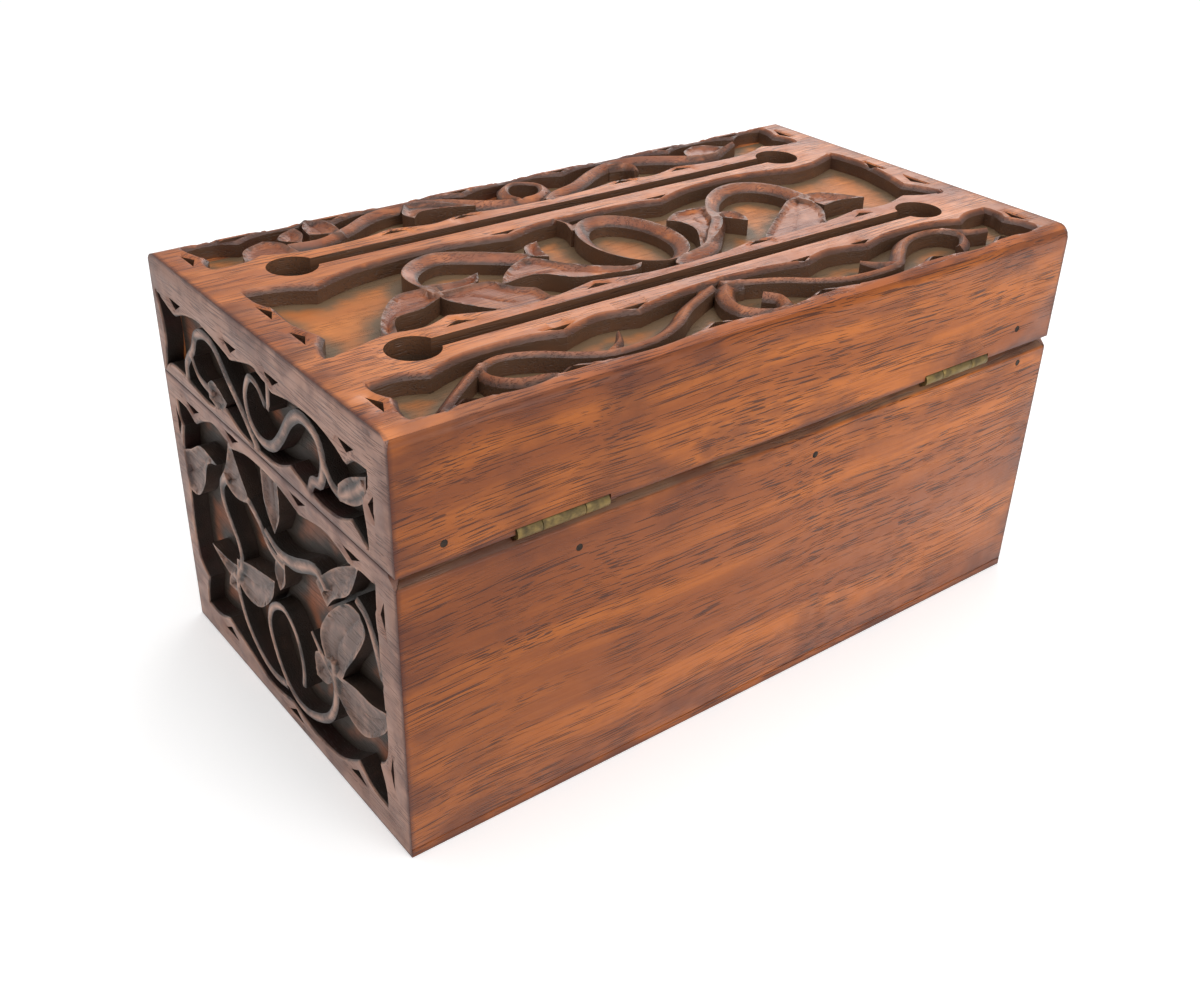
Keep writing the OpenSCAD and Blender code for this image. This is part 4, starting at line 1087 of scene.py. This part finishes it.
@dataclass(frozen=True)
class WoodFinish:
    """Waxed, open-pored reddish timber, with painted shade in the carving and on its walls, and a painted
    highlight with rubbing on its ridges.

    Attributes:
        name: Name of the material.
        pale, deep, pore, smoke: Colours of the timber itself.
        recess_shade: Painted shade on worked faces inside the carving and, in blotches, on the floor behind
            it.
        dark: Colour of grime and painted shade in corners and along walls.
        wall: Colour of sawn walls, darkened as painted shade.
        ridge: Colour of ridges and rims, pale from rubbing and from a painted highlight.
        arris: Colour of the box's outer arrises.
        grain: Direction of the grain.
        rough: Roughness of the flats.
        grime_and_shade: How much grime and painted shade reach out from walls, from 0 to 1.
        rub_and_highlight_pale: How pale the ridges are from rubbing and painted highlight, from 0 to 1.
        polish: How much smoother the carving is than the flats.
        inner: How much of the wall's colour lies as painted shade on what is below the outer faces, from 0 to
            1.
        arris_clouds: How dark the clouds near the arrises are, from 0 to 1.
        gloss: Strength of the reflections, where 0.5 is bare timber.
        aged: How much darker it is at the right-hand end, from 0 to 1.
    """

    name: str
    pale: tuple
    deep: tuple
    pore: tuple
    smoke: tuple
    recess_shade: tuple
    dark: tuple
    wall: tuple
    ridge: tuple
    arris: tuple
    grain: Grain = Grain.ALONG_X
    rough: float = 0.4
    grime_and_shade: float = 0.5
    rub_and_highlight_pale: float = 0.6
    polish: float = 0.1
    inner: float = 0.0
    arris_clouds: float = 0.6
    gloss: float = 0.5
    aged: float = 0.0

    def arrises(self, g: Graph, place: bpy.types.NodeSocket, low: Vector, high: Vector,
                width: float) -> bpy.types.Node:
        """Adds the mask of a body's outer arrises, as wide as width in metres."""
        found = g.add("ShaderNodeGroup", node_tree=shared("Arris"))
        g.tree.links.new(place, found.inputs["Vector"])
        found.inputs["Low"].default_value, found.inputs["High"].default_value = low, high
        found.inputs["Width"].default_value = width
        return found

    def make(self, low: Vector, high: Vector) -> bpy.types.Material:
        """Makes the material for a piece of the body that lies between low and high."""
        material = bpy.data.materials.new(self.name)
        material.use_nodes = True
        g = Graph(material.node_tree)
        g.tree.nodes.clear()
        place = g.add("ShaderNodeTexCoord").outputs["Object"]
        turned = g.add("ShaderNodeMapping", {"Vector": place, "Rotation": self.grain.value}).outputs[0]
        timber = g.add("ShaderNodeGroup", node_tree=shared("Timber"))
        for key, value in (("Pale", self.pale), ("Deep", self.deep), ("Pore", self.pore),
                           ("Smoke", self.smoke)):
            timber.inputs[key].default_value = value
        g.tree.links.new(turned, timber.inputs["Vector"])
        edges = [self.arrises(g, place, low, high, width) for width in (0.0011, 0.014)]
        # Painted shade in the carving and on the floor behind it, in blotches.
        blotch = g.noise(place, 210.0, 3.0)
        sunk = g.sum("MULTIPLY", g.attribute("sunk"), g.step(blotch, 0.1, 0.55))
        colour = g.mix(sunk, timber.outputs["Color"], g.mix(0.25, self.recess_shade, timber.outputs["Color"]))
        # Grime and painted shade near the walls in the carving, and in blotches.
        grime_and_shade_mask = g.sum("MULTIPLY", g.attribute("near_wall"), g.attribute("sunk"))
        grime_and_shade_mask = g.sum("ADD", grime_and_shade_mask, g.sum("MULTIPLY", blotch, 0.5))
        colour = g.mix(g.step(grime_and_shade_mask, 0.36, 0.95, self.grime_and_shade), colour, self.dark)
        # Ridges and rims pale from rubbing and a painted highlight.
        rub_and_highlight_mask = g.sum("MULTIPLY", g.attribute("rub_and_highlight"), g.step(g.noise(place, 160.0, 2.0), 0.3, 0.6))
        colour = g.mix(g.sum("MULTIPLY", rub_and_highlight_mask, self.rub_and_highlight_pale), colour, self.ridge)
        # Painted shade on the sawn walls, and on faces below the box's outer faces as far as inner gives.
        sawn = g.sum("MAXIMUM", g.attribute("sawn"),
                     g.sum("MULTIPLY", edges[0].outputs["Inside"], self.inner))
        colour = g.mix(g.sum("MULTIPLY", sawn, 0.9), colour, self.wall)
        # Darker towards the +X end.
        across = g.add("ShaderNodeSeparateXYZ", {0: place}).outputs[0]
        colour = g.mix(g.step(across, -0.03, 0.12, self.aged), colour, self.arris)
        # Darker in clouds near the box's arrises, and a dark line right along them.
        clouds = g.step(g.noise(g.stretched(place, (1, 2, 2)), 60.0, 3.0), 0.4, 0.66, self.arris_clouds)
        colour = g.mix(g.sum("MULTIPLY", edges[1].outputs["Mask"], clouds), colour, self.arris)
        colour = g.mix(g.sum("MULTIPLY", edges[0].outputs["Mask"], 0.85), colour, self.arris)
        relief = g.add("ShaderNodeGroup", {"Height": timber.outputs["Height"]}, node_tree=shared("Relief"))
        relief.inputs["Depth"].default_value = 0.00014
        rough = g.sum("ADD", g.sum("MULTIPLY", blotch, 0.24), self.rough - 0.12)
        rough = g.sum("SUBTRACT", rough, g.sum("MULTIPLY", sunk, self.polish))
        shader = g.add("ShaderNodeBsdfPrincipled", {"Base Color": colour, "Roughness": rough,
                                                    "Normal": relief.outputs[0], "Coat Weight": 0.06,
                                                    "Specular IOR Level": self.gloss,
                                                    "Coat Roughness": 0.25})
        g.add("ShaderNodeOutputMaterial", {"Surface": shader.outputs[0]})
        return material


@dataclass(frozen=True)
class MetalFinish:
    """Old metal with tarnish in patches.

    Attributes:
        name: Name of the material.
        bright: Colour of the bare metal between the tarnish.
        dull: Colour of the tarnish.
        rough: Roughness of the bare metal between the tarnish.
    """

    name: str
    bright: tuple
    dull: tuple
    rough: float = 0.35

    def make(self) -> bpy.types.Material:
        """Makes the material."""
        material = bpy.data.materials.new(self.name)
        material.use_nodes = True
        g = Graph(material.node_tree)
        g.tree.nodes.clear()
        place = g.add("ShaderNodeTexCoord").outputs["Object"]
        patches = g.step(g.noise(place, 420.0, 2.0), 0.3, 0.75)
        scratches = g.noise(g.stretched(place, (300, 4200, 4200)), 1.0, 2.0)
        colour = g.mix(patches, self.bright, self.dull)
        rough = g.sum("ADD", g.sum("MULTIPLY", patches, 0.3), self.rough)
        relief = g.add("ShaderNodeGroup", {}, node_tree=shared("Relief"))
        g.tree.links.new(g.sum("ADD", patches, scratches), relief.inputs["Height"])
        relief.inputs["Depth"].default_value = 0.00003
        metallic = g.sum("SUBTRACT", 0.95, g.sum("MULTIPLY", patches, 0.45))
        shader = g.add("ShaderNodeBsdfPrincipled", {"Base Color": colour, "Roughness": rough,
                                                    "Metallic": metallic, "Normal": relief.outputs[0]})
        g.add("ShaderNodeOutputMaterial", {"Surface": shader.outputs[0]})
        return material


def shared(name: str) -> bpy.types.NodeTree:
    """The shared node group of that name, made when it is first asked for."""
    makers = {"Timber": timber_group, "Arris": arris_group, "Relief": relief_group}
    return bpy.data.node_groups.get(name) or makers[name]()


def dress(piece: bpy.types.Object, material: bpy.types.Material) -> None:
    """Gives a piece its only material."""
    piece.data.materials.clear()
    piece.data.materials.append(material)
    log.info("dressed %s: %s", piece.name, material.name)


PLAIN = WoodFinish("plain board", tone(186, 102, 32), tone(144, 74, 25), tone(50, 22, 14), tone(112, 56, 24),
                   tone(120, 80, 65), tone(60, 35, 30), tone(104, 88, 70), tone(190, 140, 110),
                   tone(76, 32, 18), arris_clouds=0.7, gloss=0.3, aged=0.34)
# The base's back board takes the wall's colour as painted shade with grime on its chamfer and hinge beds,
# below the outer faces.
CHAMFERED = replace(PLAIN, name="chamfered board", inner=0.8)
TOP_CARVED = WoodFinish("top carving", tone(212, 126, 66), tone(172, 94, 48), tone(86, 42, 28),
                        tone(136, 76, 48), tone(118, 62, 42), tone(58, 38, 27), tone(96, 70, 52),
                        tone(180, 116, 82), tone(72, 32, 28), rough=0.42, grime_and_shade=0.85, rub_and_highlight_pale=0.6, polish=0.02)
TOP_FLOOR = WoodFinish("top floor", tone(222, 134, 58), tone(176, 98, 42), tone(112, 64, 34),
                       tone(150, 92, 48),
                       tone(196, 116, 54), tone(108, 88, 64), tone(96, 70, 52), tone(222, 172, 138),
                       tone(70, 30, 30), rough=0.6, grime_and_shade=0.95, arris_clouds=0.0, polish=0.0)
# Shaded copies of the carved and plain timber for the ends: darker, greyer colours as painted shade, and
# grey-pink flats as a painted reflection.
SHADED_END_CARVING = WoodFinish("end carving", tone(172, 130, 112), tone(148, 108, 91), tone(112, 80, 68),
                        tone(124, 86, 72), tone(32, 23, 19), tone(28, 22, 19), tone(38, 32, 28),
                        tone(204, 156, 132), tone(66, 30, 28), grain=Grain.ALONG_Y, rough=0.46, grime_and_shade=0.8,
                        rub_and_highlight_pale=0.7, polish=0.06, gloss=0.32)
SHADED_END_FLOOR = WoodFinish("end floor", tone(158, 84, 38), tone(116, 60, 28), tone(66, 38, 24), tone(84, 52, 34),
                       tone(138, 72, 32), tone(44, 38, 30), tone(38, 32, 28), tone(150, 120, 95),
                       tone(60, 34, 30), grain=Grain.ALONG_Y, rough=0.6, grime_and_shade=0.95, arris_clouds=0.0, polish=0.0)
BRASS = MetalFinish("dull brass", tone(132, 112, 70), tone(88, 74, 48), 0.42)
STEEL = MetalFinish("dark steel", tone(66, 54, 46), tone(30, 24, 21), 0.5)


# ---------------------------------------------------------------- the box


@dataclass
class CarvedPanel:
    """A carved layer and the plain layer behind it, on one face of one body.

    Attributes:
        body: The body it rides on.
        side: The face of the box.
        nodes: The CAD nodes of the carved layer and of the plain layer.
        face: The carved layer.
        back: The plain layer.
        work: The carving.
        finishes: Finishes of the two layers.
    """

    body: str
    side: Side
    nodes: tuple[str, str]
    face: Layer
    back: Layer
    work: Carving
    finishes: tuple[WoodFinish, WoodFinish]
    pieces: list[bpy.types.Object] = field(default_factory=list)

    def build(self) -> None:
        """Cuts the face and builds both layers."""
        cut = cut_face(self.face, self.back, self.work)
        for node, layer, reach in zip(self.nodes, (self.face, self.back), (0.9, self.work.grime_and_shade_reach)):
            piece = sheet_mesh(node + "_look", cut, layer, self.side, reach)
            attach(piece, self.body)
            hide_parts(node)
            self.pieces.append(piece)
            log.info("built %s: %d faces", piece.name, len(piece.data.polygons))

    def dress(self, extent: tuple[Vector, Vector]) -> None:
        """Gives both layers their finishes."""
        slots = ("carved_wood", "board_wood")
        for piece, finish, slot in zip(self.pieces, self.finishes, slots):
            dress(piece, finish.make(*extent))


def body_extent(body: str) -> tuple[Vector, Vector]:
    """Corners of the boards of a body, without its hinge metal."""
    boards = [n for n in frame["record"]["behaviour"]["bodies"][body] if n.endswith(("board", "fretwork"))]
    boxes = [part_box(n) for n in boards]
    low = Vector([min(b[0][i] for b in boxes) for i in range(3)])
    high = Vector([max(b[1][i] for b in boxes) for i in range(3)])
    return low, high


def hinge_cutters() -> list[bpy.types.Object]:
    """What both back boards lose round each hinge: a groove for the barrel and a bed for the leaves."""
    out = []
    for side in ("left", "right"):
        low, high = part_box(side + "_hinge_pin")
        leaf_low, leaf_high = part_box(side + "_hinge_base_leaf")
        centre = (low + high) / 2
        out.append(rod(centre, GROOVE_RADIUS * MM, high.x - low.x + GROOVE_SPARE * MM, "X"))
        out.append(block(Vector((leaf_low.x, leaf_low.y, centre.z - BED_HALF * MM)),
                         Vector((leaf_high.x, centre.y, centre.z + BED_HALF * MM))))
    return out


@dataclass
class BackBoard:
    """The plain board on the hinge side of one body, with the metal let into it.

    Attributes:
        body: The body it rides on.
        node: Its CAD node.
        pins: Where the heads of its panel pins lie, as (x, z).
        rounding: Radius of its upper outer edge, or 0 for a chamfered one.
    """

    body: str
    node: str
    pins: list[Point]
    rounding: float = 0.0
    piece: bpy.types.Object | None = None

    def build(self) -> None:
        """Saws the board, and cuts the hinge beds and pin holes."""
        low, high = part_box(self.node)
        mitres = [(Vector((s * high.x, high.y, 0)), Vector((s, -1, 0))) for s in (-1, 1)]
        if self.rounding:
            high.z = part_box("lid_top_fretwork")[1].z
            last, ease_width = (Vector((0, high.y, high.z)), Vector((0, -1, 1))), LID_EASE
        else:
            last, ease_width = (Vector((0, high.y, high.z - CHAMFER * MM)), Vector((0, 1, 1))), BOARD_EASE
        self.piece = plank(self.node + "_look", low, high, [*mitres, last], self.rounding, ease_width)
        for cutter in hinge_cutters():
            cut_out(self.piece, cutter)
        for x, z in self.pins:
            centre = Vector((x * MM, high.y, z * MM))
            cut_out(self.piece, rod(centre, PIN_RADIUS * MM, PIN_HOLE * MM, "Y"))
        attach(self.piece, self.body)
        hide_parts(self.node)
        log.info("built %s: %d faces", self.piece.name, len(self.piece.data.polygons))

    def dress(self, extent: tuple[Vector, Vector]) -> None:
        """Gives the board its finish."""
        finish = PLAIN if self.rounding else CHAMFERED
        dress(self.piece, finish.make(*extent))


@dataclass
class Metalwork:
    """Hinges, screws and panel pins, which keep their own shapes with eased edges."""

    brass: list[str]
    steel: list[str]

    def build(self) -> None:
        """Eases the edges of every piece."""
        for name in self.brass + self.steel:
            keep_with_eased_edges(name, METAL_EASE)

    def dress(self) -> None:
        """Gives the metal its finishes."""
        brass, steel = BRASS.make(), STEEL.make()
        for name in self.brass:
            dress(frame["nodes"][name], brass)
        for name in self.steel:
            dress(frame["nodes"][name], steel)


def keep_with_eased_edges(name: str, bevel: float) -> None:
    """Keeps a CAD node, with its edges eased."""
    node = frame["nodes"][name]
    weld = node.modifiers.new("weld", "WELD")
    weld.merge_threshold = 1e-5
    add_bevel(node, bevel, 40)
    log.info("kept %s", name)


def base_end(side: Side) -> CarvedPanel:
    """One end of the base."""
    name = side.value
    pattern = Pattern(BASE_END_OPENING, BASE_END_STRAPS, BASE_END_LEAVES, BASE_END_CHIPS)
    return CarvedPanel(
        "base", side, (f"base_{name}_fretwork", f"base_{name}_board"),
        Layer((-60.3, 0), (60.3, 79.2), 0, 4.8, ("right",), notch=CHAMFER),
        Layer((-55.5, 2.5), (60.3, 79.2), 4.8, 4.2, ("right",)),
        Carving([pattern], 0.45, 0.5, 0.9), (SHADED_END_CARVING, SHADED_END_FLOOR))


def lid_end(side: Side) -> CarvedPanel:
    """One end of the lid."""
    name = side.value
    pattern = Pattern(LID_END_OPENING, LID_END_STRAPS, LID_END_LEAVES, LID_END_CHIPS)
    return CarvedPanel(
        "lid", side, (f"lid_{name}_fretwork", f"lid_{name}_board"),
        Layer((-60.3, 79.4), (60.3, 112.6), 0, 4.8, ("right", "high"), corners=ROUNDING),
        Layer((-55.5, 79.4), (60.3, 112.6), 4.8, 4.2, ("right", "high")),
        Carving([pattern], 0.45, 0.5, 0.8), (SHADED_END_CARVING, SHADED_END_FLOOR))


def lid_top() -> CarvedPanel:
    """The top of the lid: two bands of carving, a wide field between, and two slots."""
    opening = BAND_HALF + flipped(BAND_HALF)
    front = Pattern(opening, FRONT_BAND_STRAPS, FRONT_BAND_LEAVES, BAND_CHIPS + BAND_END_CHIPS)
    back = Pattern(opening, BACK_BAND_STRAPS, [], BAND_CHIPS + BAND_END_CHIPS)
    centre = Pattern(CENTRE_OPENING, CENTRE_STRAPS, CENTRE_LEAVES, CENTRE_CHIPS)
    patterns = [centre, front.placed((0, 47.8)), back.placed((0, -46), turn_y=True)]
    return CarvedPanel(
        "lid", Side.TOP, ("lid_top_fretwork", "lid_top_board"),
        Layer((-108, -60.3), (108, 60.3), 0, 4.8, ("left", "right", "low"), 4.0, ("low", "high")),
        Layer((-108, -60.3), (108, 55.5), 4.8, 4.2, ("left", "right", "low")),
        Carving(patterns, 1.4, 2.0, 1.1, (30.4, -27.5), 5.0), (TOP_CARVED, TOP_FLOOR))


def lid_front() -> CarvedPanel:
    """The front of the lid."""
    opening = BAND_HALF + flipped(BAND_HALF)
    pattern = Pattern(opening, FRONT_BAND_STRAPS, FRONT_BAND_LEAVES, BAND_CHIPS).placed((0, 93.2))
    return CarvedPanel(
        "lid", Side.FRONT, ("lid_front_fretwork", "lid_front_board"),
        Layer((-103.2, 79.4), (103.2, 107.8), 0, 4.8), Layer((-99, 79.4), (99, 103.6), 4.8, 4.2),
        Carving([pattern], 0.45, 0.8, 0.9), (TOP_CARVED, TOP_FLOOR))


def base_front() -> CarvedPanel:
    """The front of the base: the end's carving twice, facing each other."""
    pattern = Pattern(BASE_END_OPENING, BASE_END_STRAPS, BASE_END_LEAVES, BASE_END_CHIPS).placed((2, -39.65))
    pair = [pattern.placed((s * 51.5, 39.65), 0.88, turn_x=s < 0) for s in (-1, 1)]
    return CarvedPanel(
        "base", Side.FRONT, ("base_front_fretwork", "base_front_board"),
        Layer((-103.2, 0), (103.2, 79.2), 0, 4.8), Layer((-99, 2.5), (99, 79.2), 4.8, 4.2),
        Carving(pair, 0.45, 0.5, 0.9), (TOP_CARVED, TOP_FLOOR))


@dataclass
class Studio:
    """A plain pale floor, soft lights and the camera."""

    def build(self) -> None:
        """Lays the floor and sets the lights and the camera."""
        bpy.ops.object.select_all(action="DESELECT")
        bpy.ops.mesh.primitive_plane_add(size=6, location=(0, 0, 0))
        floor = bpy.context.active_object
        floor.name = "floor"
        paint = bpy.data.materials.new("pale floor")
        paint.use_nodes = True
        shader = paint.node_tree.nodes["Principled BSDF"]
        shader.inputs["Base Color"].default_value = (0.9, 0.9, 0.9, 1)
        shader.inputs["Roughness"].default_value = 0.7
        shader.inputs["Emission Color"].default_value = (1, 1, 1, 1)
        shader.inputs["Emission Strength"].default_value = 0.34
        floor.data.materials.append(paint)
        world = bpy.data.worlds.new("white room")
        world.use_nodes = True
        world.node_tree.nodes["Background"].inputs[0].default_value = (1, 1, 1, 1)
        world.node_tree.nodes["Background"].inputs[1].default_value = 0.5
        bpy.context.scene.world = world
        self.light("overhead", (0.05, 0.1, 0.95), (0, 0, 0.05), 0.9, 4.2)
        self.light("hinge side", (-0.25, 1.1, 0.55), (0, 0, 0.05), 0.7, 4.6)
        self.light("far side", (-0.9, -0.85, 0.65), (0, 0, 0.1), 0.7, 3.4)
        self.camera()

    def light(self, name: str, place: Point, target: Point, size: float, power: float) -> None:
        """Adds a square soft light that points at a target."""
        bpy.ops.object.select_all(action="DESELECT")
        bpy.ops.object.light_add(type="AREA", location=place)
        lamp = bpy.context.active_object
        lamp.name = name
        lamp.data.size, lamp.data.energy = size, power
        away = Vector(place) - Vector(target)
        lamp.rotation_euler = away.to_track_quat("Z", "Y").to_euler()
        log.info("light %s", name)

    def camera(self) -> None:
        """Sets the camera that looks down on the hinge side and the right-hand end."""
        bpy.ops.object.select_all(action="DESELECT")
        bpy.ops.object.camera_add()
        camera = bpy.context.active_object
        right, up = Vector((-0.79393, 0.60742, 0.02679)), Vector((-0.29741, -0.42640, 0.85424))
        back = Vector((0.53031, 0.67024, 0.51919))
        turn = Matrix((right, up, back)).transposed().to_4x4()
        camera.matrix_world = Matrix.Translation((0.21746, 0.26561, 0.23916)) @ turn
        camera.data.lens, camera.data.sensor_width, camera.data.sensor_fit = 40.75, 36, "HORIZONTAL"
        camera.data.clip_start = 0.01
        bpy.context.scene.camera = camera


def main() -> None:
    """Builds and dresses the box, and sets the studio."""
    logging.basicConfig(level=logging.INFO, format="%(message)s")
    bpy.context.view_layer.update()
    bpy.context.scene.view_settings.view_transform = "Standard"
    panels = [lid_top(), lid_end(Side.RIGHT), base_end(Side.RIGHT), lid_end(Side.LEFT), base_end(Side.LEFT),
              lid_front(), base_front()]
    backs = [BackBoard("base", "base_back_board", [(60.5, 69.7), (-15, 69.7), (-96, 74)]),
             BackBoard("lid", "lid_back_board", [(96, 84), (-92.5, 85.4)], ROUNDING)]
    metal = Metalwork(["left_hinge_base_leaf", "left_hinge_lid_leaf", "left_hinge_pin",
                       "right_hinge_base_leaf", "right_hinge_lid_leaf", "right_hinge_pin",
                       "base_hinge_screws", "lid_hinge_screws"], ["base_panel_pins", "lid_panel_pins"])
    for part in [*panels, *backs]:
        part.build()
        part.dress(body_extent(part.body))
    keep_with_eased_edges("bottom_board", BOARD_EASE)
    dress(frame["nodes"]["bottom_board"], PLAIN.make(*body_extent("base")))
    metal.build()
    metal.dress()
    Studio().build()


if __name__ == "__main__":
    main()
